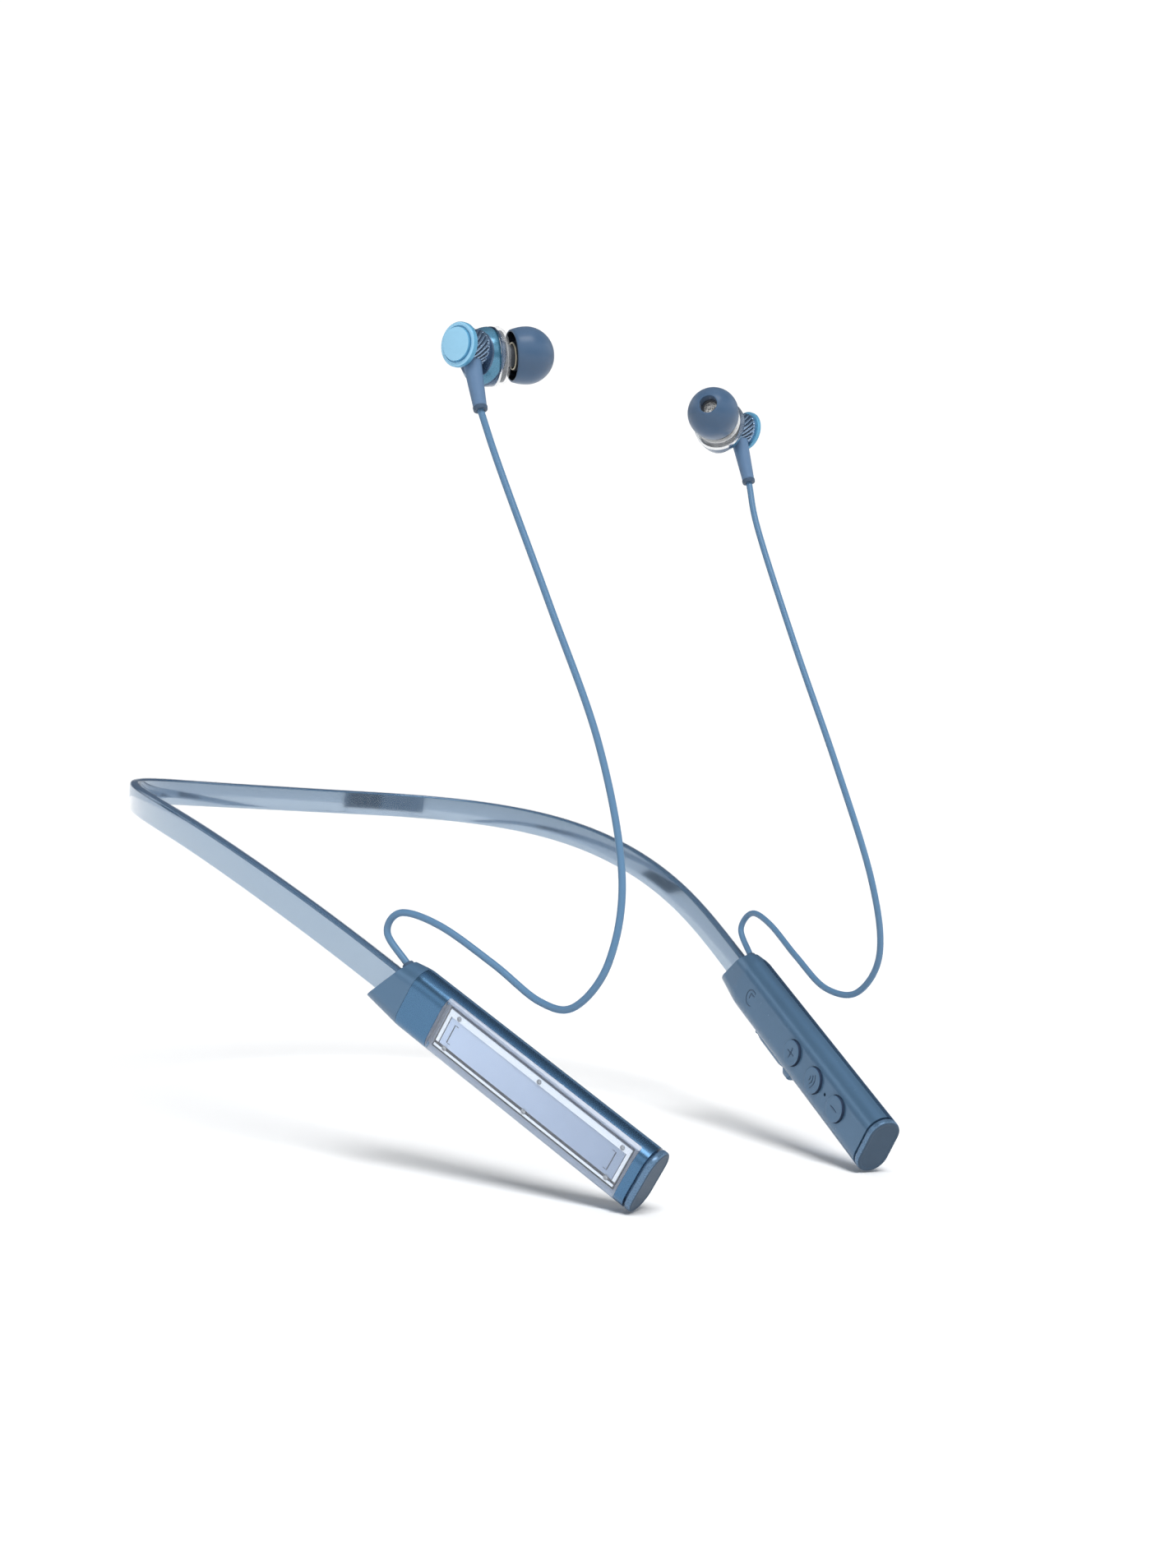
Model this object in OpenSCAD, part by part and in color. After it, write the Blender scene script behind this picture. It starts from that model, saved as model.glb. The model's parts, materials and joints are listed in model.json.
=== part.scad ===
// Neckband earphones, as worn: origin at the middle of the strap behind the neck,
// +Z up, -Y towards the wearer's front, +X to the wearer's left.

/* [Strap] */
// Length of the strap from the middle of the neck to a pod
strap_half = 176.7; // [175:0.1:178]
// Height of the strap
strap_h = 7; // [6.6:0.1:7.2]
// Thickness of the strap
strap_t = 2.4; // [2.2:0.1:2.6]
// Bend at six even steps from the neck to a pod, in degrees per mm
strap_bend = [0.51, 0.87, 1.12, 0.44, 0.43, -0.1]; // [-0.2:0.01:1.2]
// Downward slope of the strap where it meets a pod
strap_dip = 29.5; // [28:0.5:31]
// Inward lean of the strap where it meets a pod
strap_lean = 4.6; // [4:0.1:5]

/* [Pods] */
// Length of a pod, from where the strap enters to its front end
pod_l = 71; // [70.6:0.1:74]
// Height of a pod
pod_h = 14; // [13.8:0.1:14.4]
// Thickness of a pod
pod_t = 8.2; // [8:0.1:8.6]
// Wall of a pod
pod_wall = 1; // [0.9:0.05:1.05]
// Height of the pod's centre line above the strap's
pod_lift = 0.3; // [0.1:0.1:0.5]
// Length of the end cap
cap_l = 1.5; // [1.2:0.1:1.8]
// Slant of the neck end
neck_slant = 23; // [18:1:25]
// Start of the window, from where the strap enters
window_from = 16.4; // [16:0.1:18]
// Length of the window
window_l = 50.6; // [49:0.1:51]

/* [Controls] */
// Diameter of a button
button_d = 6.2; // [5.6:0.1:6.4]
// Height of a button above the pod
button_proud = 0.6; // [0.5:0.1:0.8]
// Distance between neighbouring buttons
button_pitch = 10.45; // [10:0.05:10.6]
// Place of the first button along the pod
button_from = 36.9; // [36.5:0.1:37.2]

/* [Cables] */
// Diameter of an ear cable
cable_d = 1.5; // [1.3:0.1:1.6]

/* [Earbuds] */
// Diameter of the driver housing
housing_d = 12.8; // [12.6:0.1:13]
// Diameter of the knurled barrel
barrel_d = 8.3; // [8.1:0.1:8.4]
// Height of the barrel's centre line above the housing's
barrel_lift = 1.2; // [1:0.1:1.4]
// Diameter of the disc cap
disc_d = 9.6; // [9.4:0.1:9.8]
// Diameter of the silicone tip
tip_d = 12.4; // [12.2:0.1:12.8]

/* [Hidden] */
$fn = 48;

// Colours
strap_blue = "LightSteelBlue";
matte_blue = "SteelBlue";
metal_blue = "CornflowerBlue";

// Gap between pieces that sit in one another, and running clearance at a pivot
gap = 0.05;

// ---------- The strap's centre line ----------
// The strap is drawn in even steps; it flexes at one of them on each side
steps = 60;
step = strap_half / steps;
flex_step = 24;

function smooth(x) = let(c = min(max(x, 0), 1)) c * c * (3 - 2 * c);
function bend_at(i) =
    lookup(i / steps * (len(strap_bend) - 1), [for (k = [0:len(strap_bend) - 1]) [k, strap_bend[k]]]);
turns = [for (i = 0, a = 0; i <= steps; a = a + bend_at(i + 0.5) * step, i = i + 1) a];
function dip_at(i) = strap_dip * smooth((i / steps - 0.15) / 0.87);
function lean_at(i) = strap_lean * smooth(i / steps);
function heading(turn, dip) = [cos(dip) * cos(turn), -cos(dip) * sin(turn), -sin(dip)];
function mid_heading(i) = heading((turns[i] + turns[i + 1]) / 2, dip_at(i + 0.5));
places = [for (i = 0, p = [0, 0, 0]; i <= steps; p = p + (i < steps ? step * mid_heading(i) : [0, 0, 0]),
    i = i + 1) p];

// Outward and upward directions of the strap at a step
function level_out(i) = [sin(turns[i]), cos(turns[i]), 0];
function level_up(i) = -cross(level_out(i), heading(turns[i], dip_at(i)));
function out_dir(i) = level_out(i) * cos(lean_at(i)) - level_up(i) * sin(lean_at(i));
function up_dir(i) = level_up(i) * cos(lean_at(i)) + level_out(i) * sin(lean_at(i));

// A point of the strap: step, outward and upward distance. Negative steps are on the other side,
// and the strap runs on straight past its last step, into the pod
tail_steps = 2;
function flip(p) = [-p[0], p[1], p[2]];
function strap_point(i, w, h) = i < 0 ? flip(strap_point(-i, w, h))
    : i > steps ? strap_point(steps, w, h) + (i - steps) * step * heading(turns[steps], dip_at(steps))
    : places[i] + w * out_dir(i) + h * up_dir(i);

// Solid skinned over rings of points
module skin(rings) {
    n = len(rings[0]);
    m = len(rings);
    polyhedron(
        points = [for (r = rings) each r],
        faces = concat(
            [[for (k = [n - 1:-1:0]) k]],
            [for (j = [0:m - 2], k = [0:n - 1])
                [j * n + k, j * n + (k + 1) % n, (j + 1) * n + (k + 1) % n, (j + 1) * n + k]],
            [[for (k = [0:n - 1]) (m - 1) * n + k]]
        )
    );
}

// The same with a hollow through it; the inner rings have as many points as the outer ones
module tube_skin(outer, inner) {
    n = len(outer[0]);
    m = len(outer);
    in = n * m;
    polyhedron(
        points = [for (r = concat(outer, inner)) each r],
        faces = [
            for (j = [0:m - 2], k = [0:n - 1])
                each let(a = j * n + k, b = j * n + (k + 1) % n)
                    [[a, b, b + n, a + n], [in + a, in + a + n, in + b + n, in + b]],
            for (k = [0:n - 1])
                each let(b = (k + 1) % n, z = (m - 1) * n)
                    [[k, in + k, in + b, b], [z + k, z + b, in + z + b, in + z + k]]
        ]
    );
}

// Rings of the strap with a given cross-section, from one step to another
function strap_rings(from, to, section) =
    [for (i = [from:to]) [for (q = section) strap_point(i, q[0], q[1])]];
module strap_run(from, to, section) {
    skin(strap_rings(from, to, section));
}

// Cross-sections of the strap and of what runs inside it, as [outward, upward] points
function box_section(t, h, lift) =
    [[-t / 2, lift - h / 2], [-t / 2, lift + h / 2], [t / 2, lift + h / 2], [t / 2, lift - h / 2]];
edge = 0.5;
strap_w = strap_t / 2;
strap_u = strap_h / 2;
strap_section = [
    [-strap_w, edge * 1.6 - strap_u], [-strap_w, strap_u - edge * 1.6], [edge - strap_w, strap_u],
    [strap_w - edge, strap_u], [strap_w, strap_u - edge * 1.6], [strap_w, edge * 1.6 - strap_u],
    [strap_w - edge, -strap_u], [edge - strap_w, -strap_u]
];
slot_section = [for (q = strap_section) [0.46 * q[0], 0.72 * q[1]]];
core_section = box_section(0.8, 2, -1.25);
harness_section = box_section(0.8, 2.2, 1.15);

// Puts children where the left side flexes, +Z along the hinge
module at_flex() {
    translate(places[flex_step])
        rotate([-lean_at(flex_step), dip_at(flex_step), -turns[flex_step]])
            children();
}

module right_side() {
    mirror([1, 0, 0]) children();
}

flex_r = strap_t / 2 + 0.15;

module strap_tube(from, to) {
    tube_skin(strap_rings(from, to, strap_section), strap_rings(from, to, slot_section));
}

module strap_back_piece() {
    difference() {
        strap_tube(-flex_step, flex_step);
        at_flex() cylinder(r = flex_r + gap, h = strap_h + 2, center = true);
        right_side() at_flex() cylinder(r = flex_r + gap, h = strap_h + 2, center = true);
    }
}

module strap_arm() {
    strap_tube(flex_step, steps + tail_steps);
    at_flex() cylinder(r = flex_r, h = strap_h - 0.7, center = true);
}

// ---------- Pods ----------
// Frame of the left pod: +X along it to the front, +Y outward, +Z up its height,
// origin where the strap enters
strap_tail = tail_steps * step;
module at_pod() {
    translate(places[steps])
        rotate([-strap_lean, dip_at(steps), -turns[steps]])
            children();
}

shell_to = pod_l - cap_l - 0.4;
boot_to = 8;
top_z = pod_lift + pod_h / 2;
bottom_z = pod_lift - pod_h / 2;

// Straight-sided outline with round ends, extruded along the pod
module bar(from, to, h, t) {
    translate([from, 0, pod_lift])
        rotate([90, 0, 90])
            linear_extrude(to - from) {
                square([t, h - t], center = true);
                translate([0, (h - t) / 2]) circle(d = t);
                translate([0, (t - h) / 2]) circle(d = t);
            }
}
module pod_bar(from, to, inset = 0) {
    bar(from, to, pod_h - 2 * inset, pod_t - 2 * inset);
}

// Half spaces on the inner and outer side of the pod's split
module outer_half() {
    translate([-20, 0, -20]) cube([120, 20, 40]);
}
module inner_half() {
    translate([-20, -20, -20]) cube([120, 20, 40]);
}

// What the neck end's slant and taper take away
top_taper = 11;
bottom_taper = 5;
side_taper = 8;
module neck_cuts() {
    translate([-1.6, 0, -6.5]) rotate([0, neck_slant, 0]) translate([-30, -10, -20]) cube([30, 20, 50]);
    translate([boot_to, 0, top_z]) rotate([0, -top_taper, 0]) translate([-30, -10, 0]) cube([30, 20, 10]);
    translate([boot_to, 0, bottom_z]) rotate([0, bottom_taper, 0])
        translate([-30, -10, -10]) cube([30, 20, 10]);
    translate([boot_to, pod_t / 2, 0]) rotate([0, 0, side_taper]) translate([-30, 0, -20]) cube([30, 10, 40]);
    translate([boot_to, -pod_t / 2, 0]) rotate([0, 0, -side_taper])
        translate([-30, -10, -20]) cube([30, 10, 40]);
}

// Pocket for the strap's tail and for its wires
module strap_pocket() {
    translate([-5, -strap_t / 2 - gap, -strap_h / 2 - gap])
        cube([5 + strap_tail + gap, strap_t + 2 * gap, strap_h + 2 * gap]);
    translate([0, -0.55, -2.4]) cube([boot_to + 1, 1.1, 4.8]);
}

// Cable pivot: on the slanted neck end, above the strap
exit_z = 5.1;
exit_x = (exit_z + 6.5) * tan(neck_slant) - 1.6;
knuckle_r = 1;
knuckle_w = 1.8;
grommet_l = 1.8;
grommet_w = 3;
grommet_down = 1;
grommet_h = 2.2;
module at_exit() {
    translate([exit_x, 0, exit_z]) rotate([0, neck_slant, 0]) children();
}
module cable_seat() {
    at_exit() rotate([90, 0, 0]) cylinder(r = knuckle_r + gap, h = knuckle_w + 0.2, center = true);
}
module grommet_block(grow) {
    at_exit() translate([-0.2, -grommet_w / 2 - grow, -grommet_down - grow])
        cube([grommet_l + grow, grommet_w + 2 * grow, grommet_h + 2 * grow]);
}

module neck_hollows() {
    strap_pocket();
    cable_seat();
    grommet_block(gap);
}

cavity_h = pod_h - 2 * pod_wall;
cavity_t = pod_t - 2 * pod_wall;

// Opening for the charging port and the shallow recess for its cover, on the pod's lower edge
port_x = 26;
cover_from = 19.2;
cover_to = 37;
cover_w = 4.2;
cover_depth = 0.45;
cover_pin_z = bottom_z + cover_depth;
cover_pin_r = 0.7;
module port_cuts() {
    translate([port_x - 4.6, -1.75, bottom_z - 1]) cube([9.2, 3.5, 5.2]);
    difference() {
        translate([cover_from - 0.9, -cover_w / 2 - 0.1, bottom_z - 1])
            cube([cover_to - cover_from + 1.1, cover_w + 0.2, 3]);
        pod_bar(0, pod_l, cover_depth);
    }
    translate([cover_from, 0, cover_pin_z]) rotate([90, 0, 0])
        cylinder(r = cover_pin_r + gap, h = cover_w - 0.6, center = true);
}

function button_x(i) = button_from + i * button_pitch;
flange_d = button_d + 1;
mic_x = button_x(1) + button_pitch / 2;

module inner_shell() {
    color(matte_blue) difference() {
        intersection() {
            pod_bar(-4, shell_to);
            inner_half();
        }
        neck_cuts();
        pod_bar(boot_to, pod_l, pod_wall);
        neck_hollows();
    }
}

module inner_shell_with_controls() {
    color(matte_blue) difference() {
        inner_shell();
        port_cuts();
        for (i = [0:2])
            translate([button_x(i), 0, pod_lift]) rotate([90, 0, 0])
                cylinder(d = button_d + 0.2, h = pod_t);
        translate([mic_x, 0, pod_lift]) rotate([90, 0, 0]) cylinder(r = 0.4, h = pod_t, $fn = 24);
    }
}

window_edge = 2.4;
rail_w = 0.9;
rail_top = 1.95;
rail_z = 3;
screw_xs = [20.4, 42, 63.5];
screw_z = 3.6;

// Ledges along the inside that carry the trim plate
module plate_rails() {
    difference() {
        intersection() {
            translate([window_from + 0.6, rail_top - rail_w, pod_lift - 6])
                cube([window_l - 1.2, rail_w, 12]);
            pod_bar(0, pod_l, pod_wall / 2);
        }
        translate([0, 0, pod_lift - rail_z]) cube([pod_l, 5, 2 * rail_z]);
        for (x = screw_xs, s = [-1, 1])
            translate([x, 5, pod_lift + s * screw_z]) rotate([90, 0, 0]) cylinder(r = 0.4, h = 6, $fn = 24);
    }
}

module outer_shell() {
    color(metal_blue) {
        difference() {
            intersection() {
                pod_bar(boot_to, shell_to);
                outer_half();
            }
            pod_bar(boot_to - 1, pod_l, pod_wall);
            translate([window_from, window_edge, -20]) cube([window_l, 20, 40]);
        }
        plate_rails();
    }
}

module outer_shell_with_port() {
    color(metal_blue) difference() {
        outer_shell();
        port_cuts();
    }
}

module boot() {
    color(matte_blue) difference() {
        intersection() {
            pod_bar(-4, boot_to - gap);
            outer_half();
        }
        neck_cuts();
        neck_hollows();
    }
}

module window() {
    color("LightCyan", 0.35) intersection() {
        difference() {
            pod_bar(window_from + gap, window_from + window_l - gap);
            pod_bar(0, pod_l, pod_wall);
        }
        translate([0, window_edge + gap, -20]) cube([pod_l, 20, 40]);
    }
}

plate_y = 2;
plate_t = 0.6;
plate_h = 8.8;
module plate() {
    color("LightSteelBlue") difference() {
        translate([window_from + 1.4, plate_y, pod_lift - plate_h / 2])
            cube([window_l - 2.8, plate_t, plate_h]);
        for (x = screw_xs, s = [-1, 1])
            translate([x, plate_y + 1, pod_lift + s * screw_z]) rotate([90, 0, 0])
                cylinder(r = 0.4, h = 2, $fn = 24);
    }
}

module plate_screws() {
    color("Silver")
        for (x = screw_xs, s = [-1, 1])
            translate([x, plate_y + plate_t, pod_lift + s * screw_z]) {
                rotate([-90, 0, 0]) cylinder(r = 0.55, h = 0.2, $fn = 24);
                rotate([90, 0, 0]) cylinder(r = 0.35, h = 1.4, $fn = 24);
            }
}

// The cap: outer plate, and a plug that sits inside the two shells
module end_cap() {
    color("SlateGray") {
        pod_bar(pod_l - cap_l, pod_l);
        pod_bar(shell_to - 1.5, pod_l - cap_l + 0.1, pod_wall + gap);
    }
}

module battery(from, to, y, t, h) {
    color("Gold") translate([from, y, pod_lift - h / 2]) cube([to - from, t, h]);
}

module grommet() {
    color("DarkSlateGray") difference() {
        grommet_block(0);
        cable_seat();
        at_exit() translate([-30, -5, -5]) cube([30, 10, 10]);
    }
}

module vibration_motor_body() {
    color("Silver") translate([14, 0.6, pod_lift]) rotate([90, 0, 0]) cylinder(r = 4, h = 2.6);
}

// Board, with a notch for the charging port
board_y = -0.9;
board_t = 0.8;
usb_l = 8.94;
usb_w = 3.26;
usb_from = bottom_z + 0.85;
usb_to = 0.9;
module board_plate() {
    color("DarkGreen") difference() {
        translate([13, board_y, pod_lift - 4.6]) cube([54, board_t, 9.2]);
        translate([port_x - usb_l / 2 - 0.1, board_y - 1, pod_lift - 5])
            cube([usb_l + 0.2, board_t + 2, usb_to - pod_lift + 5.1]);
    }
}

// Stadium-shaped bar that runs up the pod's height, for the charging port
module port_bar(l, w, from, to) {
    translate([port_x, 0, from]) linear_extrude(to - from) {
        square([l - w, w], center = true);
        translate([(l - w) / 2, 0]) circle(d = w);
        translate([(w - l) / 2, 0]) circle(d = w);
    }
}

module usb_receptacle() {
    color("Silver") {
        difference() {
            port_bar(usb_l, usb_w, usb_from, usb_to);
            port_bar(usb_l - 0.6, usb_w - 0.6, usb_from - 1, usb_to - 0.5);
        }
        translate([port_x - 3.3, -0.35, usb_from + 1]) cube([6.6, 0.7, usb_to - usb_from - 1.2]);
    }
}

switch_y = -2.3;
stem_r = 0.8;
module tact_switch_bodies() {
    color("DimGray") difference() {
        for (i = [0:2])
            translate([button_x(i) - 2, switch_y, pod_lift - 2]) cube([4, board_y - switch_y, 4]);
        for (i = [0:2])
            translate([button_x(i), board_y - 0.3, pod_lift]) rotate([90, 0, 0])
                cylinder(r = stem_r + gap, h = 2);
    }
}

module microphone_capsule() {
    color("Silver") translate([mic_x - 1.1, board_y - 0.9, pod_lift - 1.4]) cube([2.2, 0.9, 2.8]);
}

module status_light_pipe() {
    color("White") translate([button_x(2) + 5.4, board_y, pod_lift]) rotate([90, 0, 0])
        cylinder(r = 0.6, h = 1.9, $fn = 24);
}

// Button: round cap, a flange that keeps it in, and a stem into its switch
module button(i) {
    color(matte_blue) translate([button_x(i), 0, pod_lift]) rotate([90, 0, 0]) {
        translate([0, 0, pod_t / 2 - pod_wall - gap])
            cylinder(d = button_d, h = pod_wall + gap + button_proud);
        translate([0, 0, -switch_y + 0.4]) cylinder(d = flange_d, h = pod_t / 2 - pod_wall - 0.45 + switch_y);
        translate([0, 0, -switch_y - 0.6]) cylinder(r = stem_r, h = 1.2);
    }
}

// Rubber port cover: a strip that follows the pod's lower edge, hinged at its neck end
module port_cover_flap() {
    color(matte_blue) {
        difference() {
            intersection() {
                pod_bar(cover_from, cover_to, -0.25);
                translate([cover_from, -cover_w / 2, bottom_z - 2]) cube([cover_to - cover_from, cover_w, 4]);
            }
            pod_bar(0, pod_l, cover_depth - gap);
        }
        translate([cover_from, 0, cover_pin_z]) rotate([90, 0, 0])
            cylinder(r = cover_pin_r, h = cover_w - 0.8, center = true);
        difference() {
            translate([cover_to - 1.8, 0, bottom_z + 0.3]) rotate([90, 0, 0])
                cylinder(r = 1.6, h = 3, center = true);
            pod_bar(0, pod_l, cover_depth - gap);
        }
    }
}

// ---------- Cables ----------
// Where the left cable meets its earbud
mouth = [45.1, -131.8, 83.8];

// Way points of the left cable, from the pod to the earbud
cable_way = [
    pivot_at_pod(), [58, -125.8, -27.6], [57.6, -129.4, -23.2], [54.2, -138, -25.3], [49.8, -150, -32.2],
    [47.2, -161, -38.6], [46.8, -170.5, -38.6], [45, -177.4, -29], [41.7, -176.4, -12],
    [39.9, -166.5, 13.5], [41.2, -152, 41.5], [43.4, -137, 71], mouth
];
cable_cuts = 6;

// Place of a point of the left pod's frame
function pod_x_dir() = heading(turns[steps], dip_at(steps));
function pod_point(x, y, z) = places[steps] + x * pod_x_dir() + y * out_dir(steps) + z * up_dir(steps);
function pivot_at_pod() = pod_point(exit_x, 0, exit_z);

// Smooth curve through the way points
function way(i) = i < 0 ? 2 * cable_way[0] - cable_way[1]
    : i >= len(cable_way) ? 2 * cable_way[i - 1] - cable_way[i - 2] : cable_way[i];
function curve_point(a, b, c, d, t) =
    0.5 * (2 * b + t * (c - a) + t * t * (2 * a - 5 * b + 4 * c - d) + t * t * t * (3 * b - a - 3 * c + d));
cable_points = [
    for (i = [0:len(cable_way) - 2], k = [0:cable_cuts - 1])
        curve_point(way(i - 1), way(i), way(i + 1), way(i + 2), k / cable_cuts),
    mouth
];

// Ring of points round the cable; the cable stays close to one upright plane
function unit(v) = v / norm(v);
function cable_dir(i) =
    unit(cable_points[min(i + 1, len(cable_points) - 1)] - cable_points[max(i - 1, 0)]);
function cable_ring(i) =
    let(t = cable_dir(i), u = unit([1, 0, 0] - t[0] * t), v = cross(t, u))
        [for (a = [315:-45:0]) cable_points[i] + cable_d / 2 * (cos(a) * u + sin(a) * v)];

// The cable, with a round knuckle across each end
module cable() {
    color(strap_blue) {
        skin([for (i = [0:len(cable_points) - 1]) cable_ring(i)]);
        at_pod() at_exit() rotate([90, 0, 0]) cylinder(r = knuckle_r, h = knuckle_w, center = true);
        at_mouth() rotate([0, 90, 0]) cylinder(r = knuckle_r, h = knuckle_w, center = true);
    }
}

// ---------- Earbuds ----------
// Where the rear part and the angled front part of the left housing meet, and their directions
ear_center = [39.8, -126.4, 97.2];
rear_dir = [-0.99, 0.12, 0.07];
nozzle_dir = [-0.88, -0.45, 0.16];
rear_l = 3.1;
front_l = 2.2;

// Turns +Z to a direction
module aim(v) {
    rotate([0, acos(v[2] / norm(v)), atan2(v[1], v[0])]) children();
}
module at_nozzle() {
    translate(ear_center) aim(nozzle_dir) children();
}
module at_rear() {
    translate(ear_center) aim(rear_dir) children();
}
module at_barrel() {
    at_rear() translate([-barrel_lift, 0, 0]) children();
}
barrel_mid = 5.2;
barrel_l = 4.8;

// Middle of the barrel, where the strain relief points
rear_tilt = acos(rear_dir[2] / norm(rear_dir));
rear_turn = atan2(rear_dir[1], rear_dir[0]);
barrel_up = -[cos(rear_tilt) * cos(rear_turn), cos(rear_tilt) * sin(rear_turn), -sin(rear_tilt)];
barrel_center = ear_center + barrel_lift * barrel_up - barrel_mid * unit(rear_dir);
relief_l = norm(barrel_center - mouth);
module at_mouth() {
    translate(mouth) aim(barrel_center - mouth) children();
}

// Half space on the rear or front side of the plane where the two housing parts meet
module rear_side() {
    translate(ear_center) aim(unit(rear_dir) + unit(nozzle_dir)) translate([-15, -15, -30]) cube(30);
}
module front_side() {
    translate(ear_center) aim(unit(rear_dir) + unit(nozzle_dir)) translate([-15, -15, 0]) cube(30);
}
// The front length is slightly slimmer than the rear one
elbow_step = 0.3;
module elbow(d, rear, front) {
    intersection() {
        at_rear() translate([0, 0, -rear]) cylinder(d = d, h = rear + 12);
        rear_side();
    }
    intersection() {
        at_nozzle() translate([0, 0, -12]) cylinder(d = d - elbow_step, h = 12 + front);
        front_side();
    }
}

housing_wall = 0.8;
barrel_wall = 0.85;
module housing() {
    color(metal_blue) difference() {
        elbow(housing_d, rear_l, front_l);
        elbow(housing_d - 2 * housing_wall, rear_l - housing_wall, front_l + 1);
        at_barrel() translate([0, 0, -rear_l - 1]) cylinder(d = barrel_d - 2 * barrel_wall, h = 3);
    }
}

relief_hole_r = 1.25;
module barrel() {
    color("LightSlateGray") difference() {
        at_barrel() translate([0, 0, -rear_l - barrel_l]) cylinder(d = barrel_d, h = barrel_l);
        at_barrel() translate([0, 0, -rear_l - barrel_l - 1])
            cylinder(d = barrel_d - 2 * barrel_wall, h = barrel_l + 2);
        at_mouth() cylinder(r = relief_hole_r, h = relief_l);
    }
}

disc_rim = 1.2;
disc_face = 0.6;
module disc_cap() {
    color("SkyBlue") at_barrel() translate([0, 0, -rear_l - barrel_l]) {
        translate([0, 0, -disc_rim]) cylinder(d = disc_d, h = disc_rim);
        translate([0, 0, -disc_rim - disc_face]) cylinder(d = disc_d * 0.76, h = disc_face + 0.1);
        translate([0, 0, -0.1]) cylinder(d = barrel_d - 2 * barrel_wall - 2 * gap, h = 0.6);
    }
}

module magnet() {
    color("Silver") at_barrel() translate([0, 0, -rear_l - barrel_l + 0.6]) cylinder(r = 2.9, h = 1);
}

// Strain relief: tapered boot with a collar, a stub into the barrel, and the cable's seat
relief_r = 1.95;
collar_r = 1.6;
module relief() {
    color(matte_blue) difference() {
        at_mouth() {
            cylinder(r1 = 1.45, r2 = relief_r, h = relief_l);
            cylinder(r = collar_r, h = 0.9);
        }
        difference() {
            at_barrel() translate([0, 0, -rear_l - barrel_l - 2]) cylinder(d = barrel_d + 2 * gap, h = barrel_l + 4);
            at_mouth() cylinder(r = relief_hole_r - gap, h = relief_l - barrel_d / 2 + barrel_wall);
        }
        at_mouth() translate([0, 0, relief_l - barrel_d / 2 + barrel_wall]) cylinder(r = 3, h = 10);
        elbow(housing_d + 2 * gap, rear_l + gap, front_l);
        at_mouth() rotate([0, 90, 0]) cylinder(r = knuckle_r + gap, h = knuckle_w + 0.2, center = true);
    }
}

// Clear front with the sound nozzle
nozzle_r = 2.4;
lip_r = 2.55;
bore_r = 1.75;
nozzle_to = 12.3;
module front_ring() {
    color("WhiteSmoke", 0.6) at_nozzle() rotate_extrude()
        polygon([
            [bore_r, front_l + 1.2], [bore_r, nozzle_to], [lip_r, nozzle_to], [lip_r, nozzle_to - 0.9],
            [nozzle_r, nozzle_to - 1.2], [nozzle_r, front_l + 2.1], [housing_d / 2 - 0.9, front_l + 2.1],
            [housing_d / 2, front_l + 1.2], [housing_d / 2, front_l],
            [housing_d / 2 - housing_wall, front_l], [housing_d / 2 - housing_wall, front_l + 1.2]
        ]);
}

module driver() {
    color("DimGray") at_nozzle() translate([0, 0, 0.9]) {
        cylinder(r = 5.2, h = 1.6);
        translate([0, 0, -0.7]) cylinder(r = 2.6, h = 0.8);
    }
}

module nozzle_mesh() {
    color("Silver") at_nozzle() translate([0, 0, nozzle_to - 0.5]) cylinder(r = bore_r - gap, h = 0.3);
}

// Silicone tip: outer dome with a skirt, and a sleeve that grips the nozzle
tip_from = 5.9;
skirt_l = 3.4;
sleeve_r = 3.2;
tip_hole_r = 2.1;
tip_wall = 0.5;
module ear_tip() {
    r = tip_d / 2;
    color(matte_blue) at_nozzle() translate([0, 0, tip_from]) rotate_extrude() difference() {
        union() {
            intersection() {
                union() {
                    square([r, skirt_l]);
                    translate([0, skirt_l]) circle(r = r);
                }
                difference() {
                    square([r, 20]);
                    union() {
                        square([r - tip_wall, skirt_l]);
                        translate([0, skirt_l]) circle(r = r - tip_wall);
                    }
                }
            }
            translate([0, 0.4]) square([sleeve_r, skirt_l + r - 1.4]);
        }
        square([lip_r + gap, nozzle_to - tip_from + 0.2]);
        square([tip_hole_r, 20]);
    }
}

color(strap_blue) strap_back_piece();  // strap_back
color(strap_blue) strap_arm();  // strap_left
color(strap_blue) right_side() strap_arm();  // strap_right
color("Silver") strap_run(1 - flex_step, flex_step - 1, core_section);  // core_back
color("Silver") strap_run(flex_step + 1, steps + 1, core_section);  // core_left
color("Silver") right_side() strap_run(flex_step + 1, steps + 1, core_section);  // core_right
color("Orange") strap_run(1 - flex_step, flex_step - 1, harness_section);  // harness_back
color("Orange") strap_run(flex_step + 1, steps + 1, harness_section);  // harness_left
color("Orange") right_side() strap_run(flex_step + 1, steps + 1, harness_section);  // harness_right
right_side() at_pod() inner_shell();  // inner_shell_right
right_side() at_pod() outer_shell();  // outer_shell_right
right_side() at_pod() boot();  // boot_right
right_side() at_pod() window();  // window_right
right_side() at_pod() plate();  // plate_right
right_side() at_pod() plate_screws();  // plate_screws_right
right_side() at_pod() end_cap();  // end_cap_right
right_side() at_pod() battery(22, 64, -2.6, 3.4, 8.4);  // battery_right
right_side() at_pod() grommet();  // grommet_right
right_side() at_pod() vibration_motor_body();  // vibration_motor
at_pod() inner_shell_with_controls();  // inner_shell_left
at_pod() outer_shell_with_port();  // outer_shell_left
at_pod() boot();  // boot_left
at_pod() window();  // window_left
at_pod() plate();  // plate_left
at_pod() plate_screws();  // plate_screws_left
at_pod() end_cap();  // end_cap_left
at_pod() battery(32, 66, 0.05, 1.8, 5.8);  // battery_left
at_pod() grommet();  // grommet_left
at_pod() board_plate();  // board
at_pod() tact_switch_bodies();  // tact_switches
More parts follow.
